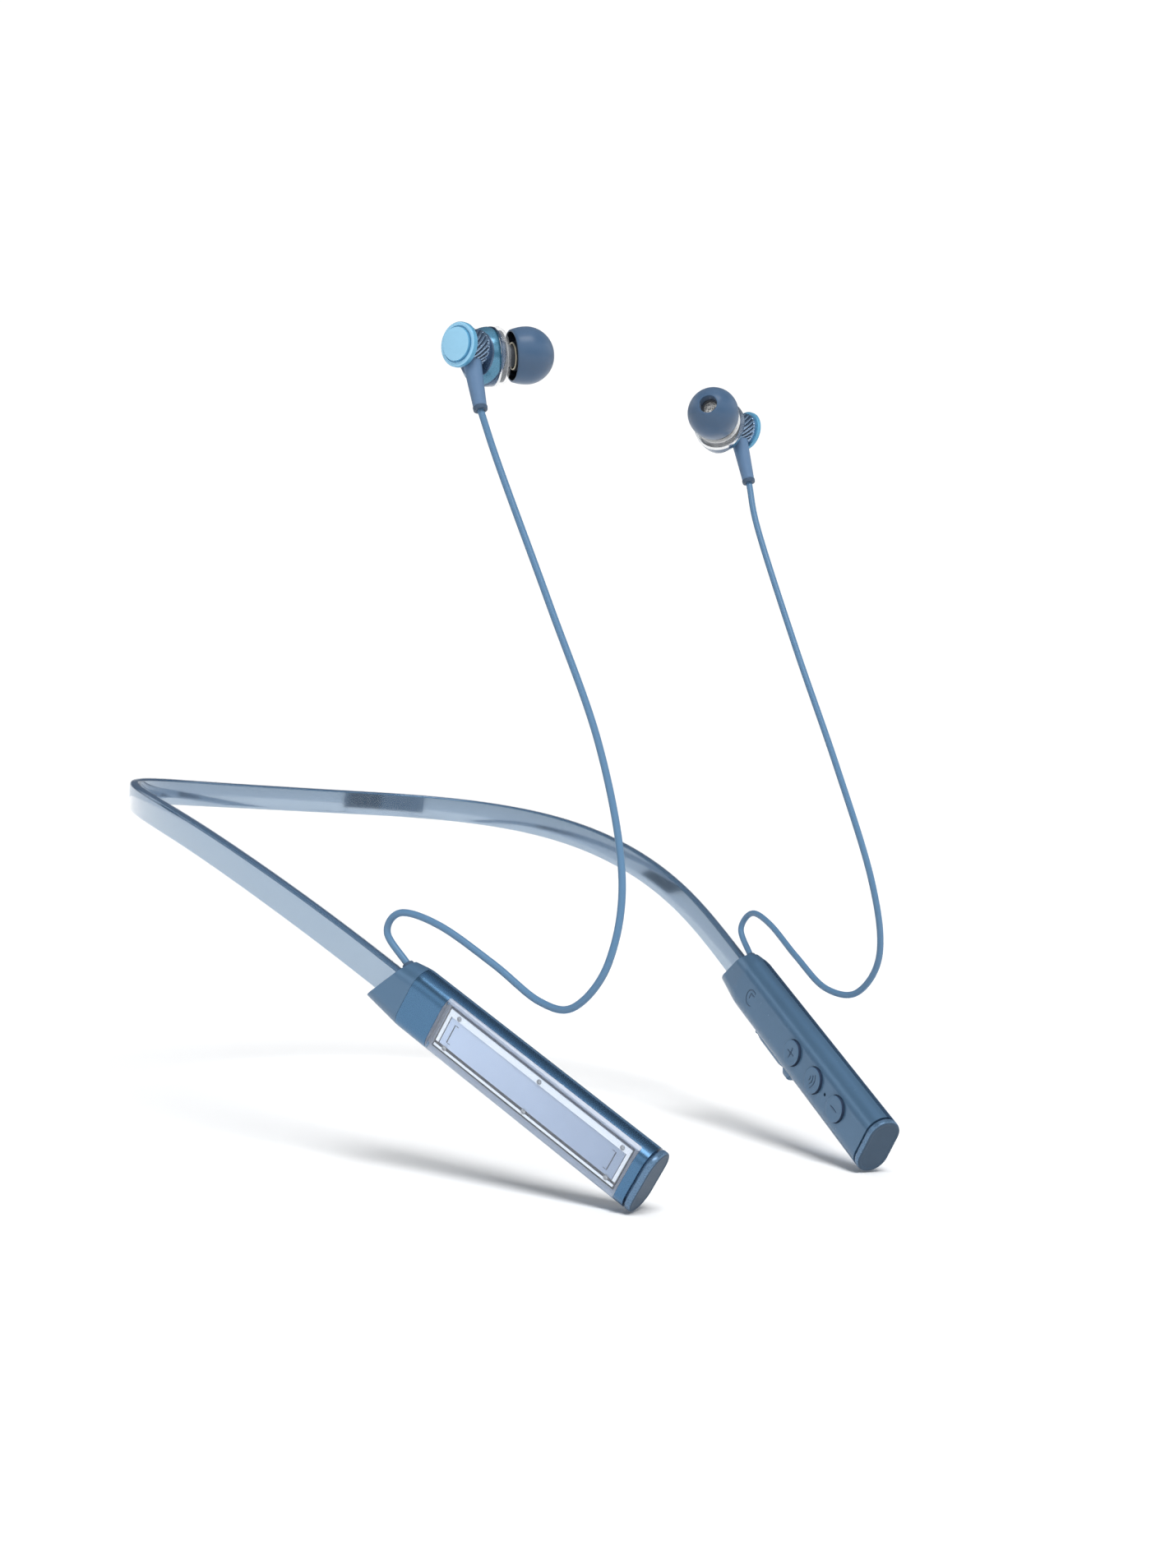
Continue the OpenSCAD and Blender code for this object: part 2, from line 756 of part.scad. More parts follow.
at_pod() usb_receptacle();  // usb_port
at_pod() microphone_capsule();  // microphone
at_pod() status_light_pipe();  // status_light
at_pod() button(0);  // button_plus
at_pod() button(1);  // button_multi
at_pod() button(2);  // button_minus
at_pod() port_cover_flap();  // port_cover
right_side() cable();  // cable_right
right_side() relief();  // relief_right
right_side() barrel();  // barrel_right
right_side() disc_cap();  // disc_cap_right
right_side() magnet();  // magnet_right
right_side() housing();  // housing_right
right_side() front_ring();  // front_ring_right
right_side() driver();  // driver_right
right_side() nozzle_mesh();  // nozzle_mesh_right
right_side() ear_tip();  // ear_tip_right
cable();  // cable_left
relief();  // relief_left
barrel();  // barrel_left
disc_cap();  // disc_cap_left
magnet();  // magnet_left
housing();  // housing_left
front_ring();  // front_ring_left
driver();  // driver_left
nozzle_mesh();  // nozzle_mesh_left
ear_tip();  // ear_tip_left
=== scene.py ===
"""Neckband earphones: the looks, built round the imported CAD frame.

Shapes are drawn in local frames in millimetres, on the wearer's left, and mirrored for the right.
"""

import json
from math import acos, asin, atan2, cos, hypot, pi, radians, sin, sqrt, tan

import bmesh
import bpy
from mathutils import Matrix, Vector


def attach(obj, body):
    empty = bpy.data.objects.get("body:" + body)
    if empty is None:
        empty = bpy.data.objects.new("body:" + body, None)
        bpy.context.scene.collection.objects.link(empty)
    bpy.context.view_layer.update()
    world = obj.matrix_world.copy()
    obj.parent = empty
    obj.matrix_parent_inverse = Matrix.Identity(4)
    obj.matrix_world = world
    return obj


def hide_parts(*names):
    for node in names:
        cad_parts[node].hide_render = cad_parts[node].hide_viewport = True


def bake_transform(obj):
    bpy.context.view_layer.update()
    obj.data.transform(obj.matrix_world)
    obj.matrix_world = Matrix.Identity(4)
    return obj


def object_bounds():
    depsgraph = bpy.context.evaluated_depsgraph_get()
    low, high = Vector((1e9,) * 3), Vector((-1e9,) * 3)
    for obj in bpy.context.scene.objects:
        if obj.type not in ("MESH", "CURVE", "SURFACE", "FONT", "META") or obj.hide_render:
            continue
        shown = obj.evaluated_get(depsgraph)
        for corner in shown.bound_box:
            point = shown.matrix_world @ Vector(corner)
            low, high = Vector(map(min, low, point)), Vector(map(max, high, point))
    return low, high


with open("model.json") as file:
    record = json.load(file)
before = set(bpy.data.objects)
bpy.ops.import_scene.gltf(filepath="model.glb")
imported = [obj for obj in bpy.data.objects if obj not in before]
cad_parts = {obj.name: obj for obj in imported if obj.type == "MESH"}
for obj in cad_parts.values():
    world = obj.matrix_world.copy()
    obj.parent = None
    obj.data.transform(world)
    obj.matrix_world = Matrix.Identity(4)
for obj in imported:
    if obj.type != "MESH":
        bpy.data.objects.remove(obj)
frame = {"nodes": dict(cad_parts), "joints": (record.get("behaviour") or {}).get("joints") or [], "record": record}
cad_low, cad_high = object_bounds()

MM = 0.001
ROW = Matrix.Scale(MM, 4)
RECORD = frame["record"]
JOINTS = {j["name"]: j for j in frame["joints"]}
MOUNTS = {m["name"]: m for m in RECORD["mounts"]}
SLOT_OF = {part["node"]: part["material_slot"] for part in RECORD["subparts"]}
BODY_OF = {node: body for body, nodes in RECORD["behaviour"]["bodies"].items() for node in nodes}
SIDES = ("left", "right")
MIRROR = Matrix.Diagonal((-1, 1, 1, 1))
GAP = 0.05

# Strap
STRAP_HALF = 176.7
STRAP_H = 7.0
STRAP_T = 2.4
STRAP_BEND = (0.51, 0.87, 1.12, 0.44, 0.43, -0.1)
STRAP_DIP = 29.5
STRAP_LEAN = 4.6
STEPS = 60
STEP = STRAP_HALF / STEPS
FLEX_FROM = 13
FLEX_TO = 36
COAT = 0.14
INSERT_T = 0.8
CORE_H = 2.0
CORE_LIFT = -1.25
HARNESS_H = 2.2
HARNESS_LIFT = 1.15

# Pods
POD_L = 71.0
POD_H = 14.0
POD_T = 8.2
POD_R = POD_T / 2
POD_WALL = 1.0
POD_LIFT = 0.3
CAP_L = 1.5
SHELL_TO = POD_L - CAP_L - 0.4
BOOT_TO = 8.0
NECK_SLANT = radians(23)
NECK_FOOT = (-1.6, -6.5)
TOP_TAPER = tan(radians(11))
BOTTOM_TAPER = tan(radians(5))
SIDE_TAPER = tan(radians(8))
WINDOW_FROM = 16.4
WINDOW_TO = 67.0
WINDOW_EDGE = 2.4
LEDGE_Y = 2.62
SCREW_X = (20.4, 42.0, 63.5)
SCREW_Z = 3.6
BUTTON_D = 6.2
BUTTON_X = tuple(36.9 + 10.45 * i for i in range(3))
MIC_X = BUTTON_X[1] + 10.45 / 2
COVER_FROM = 19.2
COVER_TO = 37.0
COVER_W = 4.2
COVER_DEPTH = 0.45
PORT_X = 26.0
MARK_X = 14.8

# Cables
CABLE_R = 0.75
GROMMET_R = 1.3
CABLE_WAY = (
    (58, -125.8, -27.6), (57.6, -129.4, -23.2), (54.2, -138, -25.3), (49.8, -150, -32.2),
    (47.2, -161, -38.6), (46.8, -170.5, -38.6), (45, -177.4, -29), (41.7, -176.4, -12),
    (39.9, -166.5, 13.5), (41.2, -152, 41.5), (43.4, -137, 71),
)

# Earbuds
TIP_REACH = 15.1
REAR_DIR = Vector((-0.99, 0.12, 0.07)).normalized()
HOUSING_R = 6.4
REAR_L = 3.1
FRONT_L = 2.2
BARREL_R = 4.15
BARREL_L = 4.8
BARREL_MID = 5.2
BARREL_LIFT = 1.2
DISC_R = 4.8
NOZZLE_R = 2.4
NOZZLE_TO = 12.3
NOZZLE_BORE = 1.75
TIP_R = 6.2
TIP_FROM = 5.9
SKIRT_L = 3.4
TIP_WALL = 0.5


# ---------- Places ----------

def place(origin, x, y, z):
    """Matrix from a local frame in millimetres to the row frame in metres."""
    columns = Matrix((x, y, z)).transposed().to_4x4()
    return ROW @ Matrix.Translation(origin) @ columns


def on_side(matrix, side):
    return matrix if side == "left" else MIRROR @ matrix


def aim(origin, direction):
    """Frame whose +Z points along a direction, turned as the CAD turns it."""
    z = Vector(direction).normalized()
    tilt = acos(z.z)
    turn = atan2(z.y, z.x)
    x = Vector((cos(tilt) * cos(turn), cos(tilt) * sin(turn), -sin(tilt)))
    return place(origin, x, z.cross(x), z)


pod_x = Vector(MOUNTS["pod_end_left"]["axis"]).normalized()
pod_y = Vector(JOINTS["port_cover_swing"]["axis"]).normalized()
pod_z = pod_x.cross(pod_y).normalized()
pod_origin = Vector(MOUNTS["pod_end_left"]["pos_m"]) / MM - POD_L * pod_x - POD_LIFT * pod_z
POD = place(pod_origin, pod_x, pod_y, pod_z)

exit_point = Vector(JOINTS["cable_swing_left"]["pos_m"]) / MM
exit_out = -cos(NECK_SLANT) * pod_x + sin(NECK_SLANT) * pod_z
mouth = Vector(JOINTS["earbud_tilt_left"]["pos_m"]) / MM
nozzle_dir = Vector(JOINTS["ear_tip_pull_left"]["axis"]).normalized()
ear_center = Vector(MOUNTS["ear_left"]["pos_m"]) / MM - TIP_REACH * nozzle_dir
REAR = aim(ear_center, REAR_DIR)
NOZZLE = aim(ear_center, nozzle_dir)
barrel_up = -(REAR.to_3x3() @ Vector((1, 0, 0))).normalized()
BARREL = aim(ear_center + BARREL_LIFT * barrel_up, REAR_DIR)
barrel_center = ear_center + BARREL_LIFT * barrel_up - BARREL_MID * REAR_DIR
RELIEF = aim(mouth, barrel_center - mouth)
relief_l = (barrel_center - mouth).length


# ---------- Mesh tools ----------

def add_object(name, data):
    obj = bpy.data.objects.new(name, data)
    bpy.context.scene.collection.objects.link(obj)
    return obj


def new_mesh(name, points, faces):
    """Mesh object in local millimetres, cleaned, with its faces outward."""
    mesh = bpy.data.meshes.new(name)
    mesh.from_pydata([Vector(p) for p in points], [], faces)
    bm = bmesh.new()
    bm.from_mesh(mesh)
    bmesh.ops.remove_doubles(bm, verts=bm.verts, dist=1e-5)
    bmesh.ops.recalc_face_normals(bm, faces=bm.faces)
    bm.to_mesh(mesh)
    bm.free()
    return add_object(name, mesh)


def join(*objects):
    """Joins objects into the first one."""
    with bpy.context.temp_override(active_object=objects[0], selected_editable_objects=list(objects)):
        bpy.ops.object.join()
    return objects[0]


def carve(obj, *cutters):
    """Cuts the cutters out of obj and removes them."""
    for cutter in cutters:
        cut = obj.modifiers.new("cut", "BOOLEAN")
        cut.operation = "DIFFERENCE"
        cut.solver = "EXACT"
        cut.object = cutter
    graph = bpy.context.evaluated_depsgraph_get()
    made = bpy.data.meshes.new_from_object(obj.evaluated_get(graph))
    obj.modifiers.clear()
    obj.data = made
    for cutter in cutters:
        bpy.data.objects.remove(cutter)
    return obj


def paint(obj, materials, zone=None):
    """Gives obj its materials; zone says which of them a face takes."""
    obj.data.materials.clear()
    for material in materials:
        obj.data.materials.append(material)
    for face in obj.data.polygons:
        face.material_index = zone(face) if zone else 0
    return obj


def settle(obj, matrix, bevel=0.0, sharp=38):
    """Moves a local mesh to its place, smooths it up to the sharp angle, and softens its sharp edges."""
    obj.data.transform(matrix)
    if matrix.determinant() < 0:
        obj.data.flip_normals()
    bm = bmesh.new()
    bm.from_mesh(obj.data)
    for face in bm.faces:
        face.smooth = True
    for edge in bm.edges:
        edge.smooth = edge.is_manifold and edge.calc_face_angle(0) < radians(sharp)
    bm.to_mesh(obj.data)
    bm.free()
    if bevel:
        soft = obj.modifiers.new("bevel", "BEVEL")
        soft.width = bevel * MM
        soft.segments = 2
        soft.limit_method = "ANGLE"
        soft.angle_limit = radians(sharp)
        soft.miter_outer = "MITER_ARC"
        weighted = obj.modifiers.new("normals", "WEIGHTED_NORMAL")
        weighted.keep_sharp = True
    return obj


def stand_in(obj):
    """The piece stands for the CAD node of the same name: it takes that node's body, and the node is hidden."""
    node = obj.name.split(".")[0]
    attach(obj, BODY_OF[node])
    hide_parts(node)


def set_piece(obj, side, local, materials, zone=None, **soft):
    """Paints a piece, moves it from its local frame to its place on a side, and lets it stand in there."""
    paint(obj, materials, zone)
    settle(obj, on_side(local, side), **soft)
    stand_in(obj)


def bend_piece(obj, side, near, far, start, end, *nodes):
    """The piece's transform is baked into its mesh, and the CAD nodes it stands for are hidden.
    near and far, the two bodies, and start and end, in mm on the left, are not used.
    """
    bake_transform(obj)
    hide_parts(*nodes)


def rounded(corners, steps=5):
    """Outline with rounded corners, from (x, y, radius) corners."""
    out = []
    count = len(corners)
    for i, (x, y, radius) in enumerate(corners):
        here = Vector((x, y))
        if radius == 0:
            out.append(tuple(here))
            continue
        before = (Vector(corners[i - 1][:2]) - here).normalized()
        after = (Vector(corners[(i + 1) % count][:2]) - here).normalized()
        half = before.angle(after) / 2
        reach = radius / tan(half)
        middle = here + (before + after).normalized() * (radius / sin(half))
        start = here + before * reach - middle
        sweep = pi - 2 * half
        turn = 1 if before.x * after.y - before.y * after.x < 0 else -1
        for k in range(steps + 1):
            a = turn * sweep * k / steps
            c, s = cos(a), sin(a)
            out.append((middle.x + start.x * c - start.y * s, middle.y + start.x * s + start.y * c))
    return out


def loft(name, rings, capped=True, closed=False):
    """Skin over rings of points, with flat ends, or joined end to end when closed."""
    size = len(rings[0])
    points = [p for ring in rings for p in ring]
    faces = []
    for j in range(len(rings) - (0 if closed else 1)):
        near, far = j * size, (j + 1) % len(rings) * size
        for k in range(size):
            m = (k + 1) % size
            faces.append((near + k, near + m, far + m, far + k))
    if capped and not closed:
        faces.append(tuple(reversed(range(size))))
        faces.append(tuple(range(len(points) - size, len(points))))
    return new_mesh(name, points, faces)


def lathe(name, profile, steps=72, shift=None):
    """Solid turned round local Z from a closed (radius, height) outline; shift moves a point outward."""
    rings = []
    for j in range(steps):
        a = 2 * pi * j / steps
        shifted = [(r + (shift(a, z, r) if shift else 0), z) for r, z in profile]
        rings.append([(r * cos(a), r * sin(a), z) for r, z in shifted])
    return loft(name, rings, closed=True)


def box(name, low, high):
    xs, ys, zs = zip(low, high)
    ring = lambda x: [(x, ys[0], zs[0]), (x, ys[1], zs[0]), (x, ys[1], zs[1]), (x, ys[0], zs[1])]
    return loft(name, [ring(xs[0]), ring(xs[1])])


def circle(center, radius, x, y, steps):
    """Points round a center, in the plane of two unit vectors."""
    angles = (2 * pi * k / steps for k in range(steps))
    return [center + radius * (cos(a) * x + sin(a) * y) for a in angles]


def rod(name, center, axis, radius, reach, steps=48):
    """Round bar through center along a local axis, reach to each side."""
    z = Vector(axis).normalized()
    x = z.orthogonal().normalized()
    return loft(name, [circle(Vector(center) + z * t, radius, x, z.cross(x), steps) for t in (-reach, reach)])


def around(path, i, closed=False):
    """The points before and after a point of a path."""
    if closed:
        return path[i - 1], path[(i + 1) % len(path)]
    return path[max(i - 1, 0)], path[min(i + 1, len(path) - 1)]


def tube(name, path, radius, steps=16, closed=False):
    """Round tube along a path; its rings are carried along without twist."""
    tangents = []
    for i in range(len(path)):
        before, after = around(path, i, closed)
        tangents.append((after - before).normalized())
    side = tangents[0].orthogonal().normalized()
    rings = []
    for point, tangent in zip(path, tangents):
        side = (side - tangent * side.dot(tangent)).normalized()
        rings.append(circle(point, radius, side, tangent.cross(side), steps))
    return loft(name, rings, closed=closed)


# ---------- Materials ----------

CALM = {"bump": 0.001, "mottle": 0.02, "vary": 0.02}


def feed(tree, node, inputs=None, **named):
    """Gives a node its inputs, as values or as sockets to link from. inputs has them by number;
    the others go by name, with _ for a space."""
    sockets = {**(inputs or {}), **{key.replace("_", " "): value for key, value in named.items()}}
    for key, value in sockets.items():
        if isinstance(value, bpy.types.NodeSocket):
            tree.links.new(value, node.inputs[key])
        else:
            node.inputs[key].default_value = value


def tree_node(tree, kind, inputs=None, **values):
    """New shader node, with its inputs as in feed and its own settings by name."""
    node = tree.nodes.new("ShaderNode" + kind)
    settings = [key for key in values if key.replace("_", " ") not in node.inputs]
    for key in settings:
        setattr(node, key, values.pop(key))
    feed(tree, node, inputs, **values)
    return node


def moulded(name, colour, roughness, metallic=0.0, grain=2600, bump=0.03, mottle=0.06, vary=0.07, **extra):
    """Principled material with a mottled colour, uneven roughness and a fine surface grain."""
    material = bpy.data.materials.new(name)
    material.use_nodes = True
    tree = material.node_tree
    surface = tree.nodes["Principled BSDF"]
    where = tree_node(tree, "TexCoord").outputs["Object"]
    cloud = tree_node(tree, "TexNoise", Vector=where, Scale=90.0, Detail=4.0).outputs["Fac"]
    fine = tree_node(tree, "TexNoise", Vector=where, Scale=float(grain), Detail=3.0).outputs["Fac"]
    dark = [c * (1 - mottle) for c in colour] + [1]
    light = [min(c * (1 + mottle), 1) for c in colour] + [1]
    tint = tree_node(tree, "Mix", {0: cloud, 6: dark, 7: light}, data_type="RGBA")
    smoothest, roughest = max(roughness - vary, 0.02), min(roughness + vary, 1)
    gloss = tree_node(tree, "MapRange", Value=fine, To_Min=smoothest, To_Max=roughest)
    relief = tree_node(tree, "Bump", Height=fine, Strength=bump, Distance=0.0002)
    feed(tree, surface, Base_Color=tint.outputs[2], Roughness=gloss.outputs[0], Normal=relief.outputs[0])
    feed(tree, surface, Metallic=metallic, **extra)
    return material


def clear_plastic(name, tint, haze, shine=1.0):
    """Thin clear plastic: see-through, with a little haze, and with reflections on its outside at a slant."""
    material = moulded(name, tint, 0.08, **CALM, Alpha=haze)
    tree = material.node_tree
    surface = tree.nodes["Principled BSDF"].outputs[0]
    slant = tree_node(tree, "Fresnel", IOR=1.46).outputs[0]
    inside = tree_node(tree, "NewGeometry").outputs["Backfacing"]
    front = tree_node(tree, "MapRange", Value=inside, To_Min=shine, To_Max=0.0).outputs[0]
    amount = tree_node(tree, "Math", {0: slant, 1: front}, operation="MULTIPLY", use_clamp=True).outputs[0]
    mirrored = tree_node(tree, "BsdfGlossy", Color=(1, 1, 1, 1), Roughness=0.03).outputs[0]
    seen = tree_node(tree, "MixShader", {0: amount, 1: surface, 2: mirrored}).outputs[0]
    ray = tree_node(tree, "LightPath").outputs
    passes = {0: ray["Is Shadow Ray"], 1: ray["Is Diffuse Ray"]}
    through = tree_node(tree, "Math", passes, operation="MAXIMUM").outputs[0]
    tinted = tree_node(tree, "BsdfTransparent", Color=[*tint, 1]).outputs[0]
    mixed = tree_node(tree, "MixShader", {0: through, 1: seen, 2: tinted}).outputs[0]
    feed(tree, tree.nodes["Material Output"], Surface=mixed)
    return material


def fade(material, axis, near, far, colours):
    """Lets a material's colour run from one to another along a direction, between two places in mm."""
    tree = material.node_tree
    surface = tree.nodes["Principled BSDF"]
    where = tree_node(tree, "TexCoord").outputs["Object"]
    along = tree_node(tree, "VectorMath", {0: where, 1: axis}, operation="DOT_PRODUCT").outputs["Value"]
    share = tree_node(tree, "MapRange", Value=along, From_Min=near * MM, From_Max=far * MM).outputs["Result"]
    ends = {0: share, 6: [*colours[0], 1], 7: [*colours[1], 1]}
    run = tree_node(tree, "Mix", ends, data_type="RGBA").outputs[2]
    mottled = surface.inputs["Base Color"].links[0].from_socket
    both = tree_node(tree, "Mix", {0: 1.0, 6: run, 7: mottled}, data_type="RGBA", blend_type="MULTIPLY")
    feed(tree, surface, Base_Color=both.outputs[2])
    return material


def woven(name, colour, dark, scale):
    """Fine metal mesh: pale wires round gaps painted dark, as painted shade for the holes."""
    material = moulded(name, colour, 0.35, metallic=0.7)
    tree = material.node_tree
    surface = tree.nodes["Principled BSDF"]
    where = tree_node(tree, "TexCoord").outputs["Object"]
    holes = tree_node(tree, "TexVoronoi", Vector=where, Scale=float(scale)).outputs["Distance"]
    edge = tree_node(tree, "MapRange", Value=holes, From_Min=0.25, From_Max=0.5).outputs["Result"]
    wires = tree_node(tree, "Mix", {0: edge, 6: [*dark, 1], 7: [*colour, 1]}, data_type="RGBA")
    relief = tree_node(tree, "Bump", Height=edge, Strength=0.6, Distance=0.0002)
    feed(tree, surface, Base_Color=wires.outputs[2], Normal=relief.outputs["Normal"])
    return material


STRAP_FILL = moulded("strap_fill", (0.36, 0.455, 0.56), 0.1, metallic=0.95, bump=0.001,
                     mottle=0.02, vary=0.01)
# Painted shade: a darker blue for the strap's top and bottom faces, standing in for the dark reflection they show.
STRAP_EDGE_SHADE = moulded("strap_edge", (0.035, 0.12, 0.22), 0.16, metallic=0.5, bump=0.002,
                     mottle=0.04, vary=0.03)
STRAP_COAT = clear_plastic("strap_coat", (0.6, 0.72, 0.86), 0.08)
MATTE_BLUE = moulded("matte_blue", (0.088, 0.172, 0.28), 0.26, metallic=0.35, grain=1400, bump=0.004,
                     vary=0.03, Specular_IOR_Level=0.6)
METAL_BLUE = moulded("metal_blue", (0.092, 0.195, 0.33), 0.27, metallic=0.9, grain=5200, bump=0.006,
                     mottle=0.03, vary=0.04)
WINDOW_CLEAR = clear_plastic("window_clear", (0.93, 0.96, 1.0), 0.06)
WINDOW_EDGE_TINT = clear_plastic("window_edge", (0.5, 0.56, 0.68), 0.5)
PLATE_ENDS = ((0.54, 0.65, 0.84), (0.3, 0.385, 0.54))
PLATE_PAINT = {}
for side, sign in (("left", 1), ("right", -1)):
    base = moulded("plate_paint_" + side, (0.95, 0.95, 0.95), 0.4, metallic=0.15, grain=6000, bump=0.02)
    along, origin_at = (pod_x.x * sign, pod_x.y, pod_x.z), pod_x.dot(pod_origin)
    PLATE_PAINT[side] = fade(base, along, origin_at + 18, origin_at + 64, PLATE_ENDS)
LEDGE_WHITE = moulded("ledge_white", (0.86, 0.9, 0.95), 0.2, bump=0.01, mottle=0.02)
BAND_GREY = moulded("band_grey", (0.3, 0.35, 0.46), 0.3, bump=0.01)
LINE_DARK = moulded("line_dark", (0.02, 0.035, 0.07), 0.4)
SCREW_STEEL = moulded("screw_steel", (0.35, 0.38, 0.42), 0.25, metallic=1.0, bump=0.05)
CAP_SLATE = moulded("cap_slate", (0.05, 0.085, 0.132), 0.5, bump=0.04, Specular_IOR_Level=0.2)
CAP_RIM = moulded("cap_rim", (0.12, 0.21, 0.33), 0.28, metallic=0.5, bump=0.03)
GROMMET_RUBBER = moulded("grommet_rubber", (0.05, 0.09, 0.15), 0.6, bump=0.08)
ICON_BLUE = moulded("icon_blue", (0.03, 0.065, 0.12), 0.5, bump=0.02)
CABLE_BLUE = moulded("cable_blue", (0.095, 0.2, 0.335), 0.33, grain=1800, bump=0.01, mottle=0.03, vary=0.03)
RELIEF_RUBBER = moulded("relief_rubber", (0.105, 0.185, 0.31), 0.42, bump=0.08)
COLLAR_DARK = moulded("collar_dark", (0.045, 0.08, 0.135), 0.5, bump=0.05)
BARREL_STEEL = moulded("barrel_steel", (0.3, 0.42, 0.58), 0.24, metallic=0.9, bump=0.05)
# Painted shade: near-black for the deep parts of the knurl grooves.
BARREL_GROOVE_SHADE = moulded("barrel_groove", (0.02, 0.04, 0.075), 0.5, bump=0.05)
# Painted shade: darker teal for the disc cap's side walls.
DISC_EDGE_SHADE = moulded("disc_edge", (0.13, 0.38, 0.58), 0.4, metallic=0.3, grain=5200, bump=0.01, mottle=0.03)
DISC_SKY = moulded("disc_sky", (0.34, 0.65, 0.87), 0.42, metallic=0.3, grain=5200, bump=0.03, mottle=0.03)
HOUSING_BLUE = moulded("housing_blue", (0.07, 0.12, 0.2), 0.26, metallic=0.6, bump=0.03, Coat_Weight=0.4)
# Lighter teal for the housing's chamfer: partly its own colour, partly a painted highlight for the light the
# chamfer catches.
HOUSING_BAND_AND_HIGHLIGHT = moulded("housing_band", (0.085, 0.25, 0.38), 0.26, metallic=0.5, bump=0.02, Coat_Weight=0.4)
RING_CLEAR = clear_plastic("ring_clear", (0.95, 0.955, 0.96), 0.06, shine=0.6)
RING_LINING = moulded("ring_lining", (0.8, 0.81, 0.82), 0.14, metallic=0.95, **CALM)
RING_WHITE = moulded("ring_white", (0.86, 0.86, 0.85), 0.2, bump=0.001, mottle=0.02, Coat_Weight=0.6)
# Painted shade: dark grey for the front face's groove and the nozzle.
RING_SHADE = moulded("ring_grey", (0.09, 0.1, 0.115), 0.3, bump=0.02, mottle=0.04)
RING_GOLD = moulded("ring_gold", (0.75, 0.68, 0.52), 0.3, metallic=0.5, bump=0.03)
# Painted shade: the mesh's gaps are painted dark in place of holes.
MESH_STEEL = woven("mesh_steel", (0.86, 0.81, 0.75), (0.34, 0.32, 0.3), 3000)
TIP_SILICONE = moulded("tip_silicone", (0.052, 0.105, 0.19), 0.36, bump=0.02,
                       Sheen_Weight=0.2, Sheen_Roughness=0.4)
# Painted shade: near-black for the inside of the ear tip's skirt and dome.
TIP_INSIDE_SHADE = moulded("tip_inside", (0.012, 0.018, 0.03), 0.6, bump=0.04)

CAD_FINISHES = {}
for name, colour, roughness, metallic, grain, bump in (
    ("core_steel", (0.55, 0.56, 0.58), 0.3, 1.0, 900, 0.03),
    ("harness_amber", (0.6, 0.22, 0.04), 0.35, 0.0, 1500, 0.03),
    ("battery_foil", (0.62, 0.62, 0.6), 0.35, 0.8, 700, 0.15),
    ("motor_steel", (0.5, 0.51, 0.53), 0.3, 1.0, 2600, 0.03),
    ("board_green", (0.02, 0.16, 0.07), 0.35, 0.0, 1200, 0.1),
    ("switch_black", (0.03, 0.03, 0.035), 0.5, 0.0, 2600, 0.03),
    ("port_steel", (0.6, 0.62, 0.65), 0.22, 1.0, 2600, 0.03),
    ("mic_steel", (0.6, 0.6, 0.58), 0.3, 1.0, 2600, 0.03),
    ("light_white", (0.85, 0.88, 0.9), 0.3, 0.0, 2600, 0.03),
    ("magnet_nickel", (0.62, 0.62, 0.64), 0.18, 1.0, 2600, 0.03),
    ("driver_dark", (0.03, 0.03, 0.035), 0.45, 0.0, 2600, 0.03),
):
    CAD_FINISHES[name] = moulded(name, colour, roughness, metallic, grain, bump)
for node, slot in SLOT_OF.items():
    if slot in CAD_FINISHES:
        paint(frame["nodes"][node], [CAD_FINISHES[slot]])


# ---------- Strap ----------

def smooth(x):
    c = min(max(x, 0.0), 1.0)
    return c * c * (3 - 2 * c)


def bend_at(i):
    x = min(max(i / STEPS, 0), 1) * (len(STRAP_BEND) - 1)
    k = min(int(x), len(STRAP_BEND) - 2)
    return STRAP_BEND[k] + (STRAP_BEND[k + 1] - STRAP_BEND[k]) * (x - k)


def strap_line(cuts):
    """Centre line of the left strap as (point, outward, upward), with cuts rings to each CAD step."""
    line = []
    turn, point = 0.0, Vector((0, 0, 0))
    last = STEPS * cuts

    def heading(angle, dip):
        a, d = radians(angle), radians(dip)
        return Vector((cos(d) * cos(a), -cos(d) * sin(a), -sin(d)))

    for k in range(last + 2 * cuts + 1):
        i = min(k, last) / cuts
        dip = STRAP_DIP * smooth((i / STEPS - 0.15) / 0.87)
        lean = radians(STRAP_LEAN * smooth(i / STEPS))
        a = radians(turn)
        level_out = Vector((sin(a), cos(a), 0))
        level_up = -level_out.cross(heading(turn, dip))
        out = level_out * cos(lean) - level_up * sin(lean)
        up = level_up * cos(lean) + level_out * sin(lean)
        line.append((point.copy(), out, up))
        if k < last:
            next_turn = turn + bend_at(i + 0.5 / cuts) * STEP / cuts
            next_dip = STRAP_DIP * smooth(((i + 0.5 / cuts) / STEPS - 0.15) / 0.87)
            point += STEP / cuts * heading((turn + next_turn) / 2, next_dip)
            turn = next_turn
        else:
            point += STEP / cuts * heading(turn, STRAP_DIP)
    return line


def strap_section(thickness, height, radius, lift=0.0):
    """Rounded oblong as (outward, upward) points, with its middle lifted off the centre line."""
    t, low, high = thickness / 2, lift - height / 2, lift + height / 2
    return rounded([(-t, low, radius), (-t, high, radius), (t, high, radius), (t, low, radius)], steps=6)


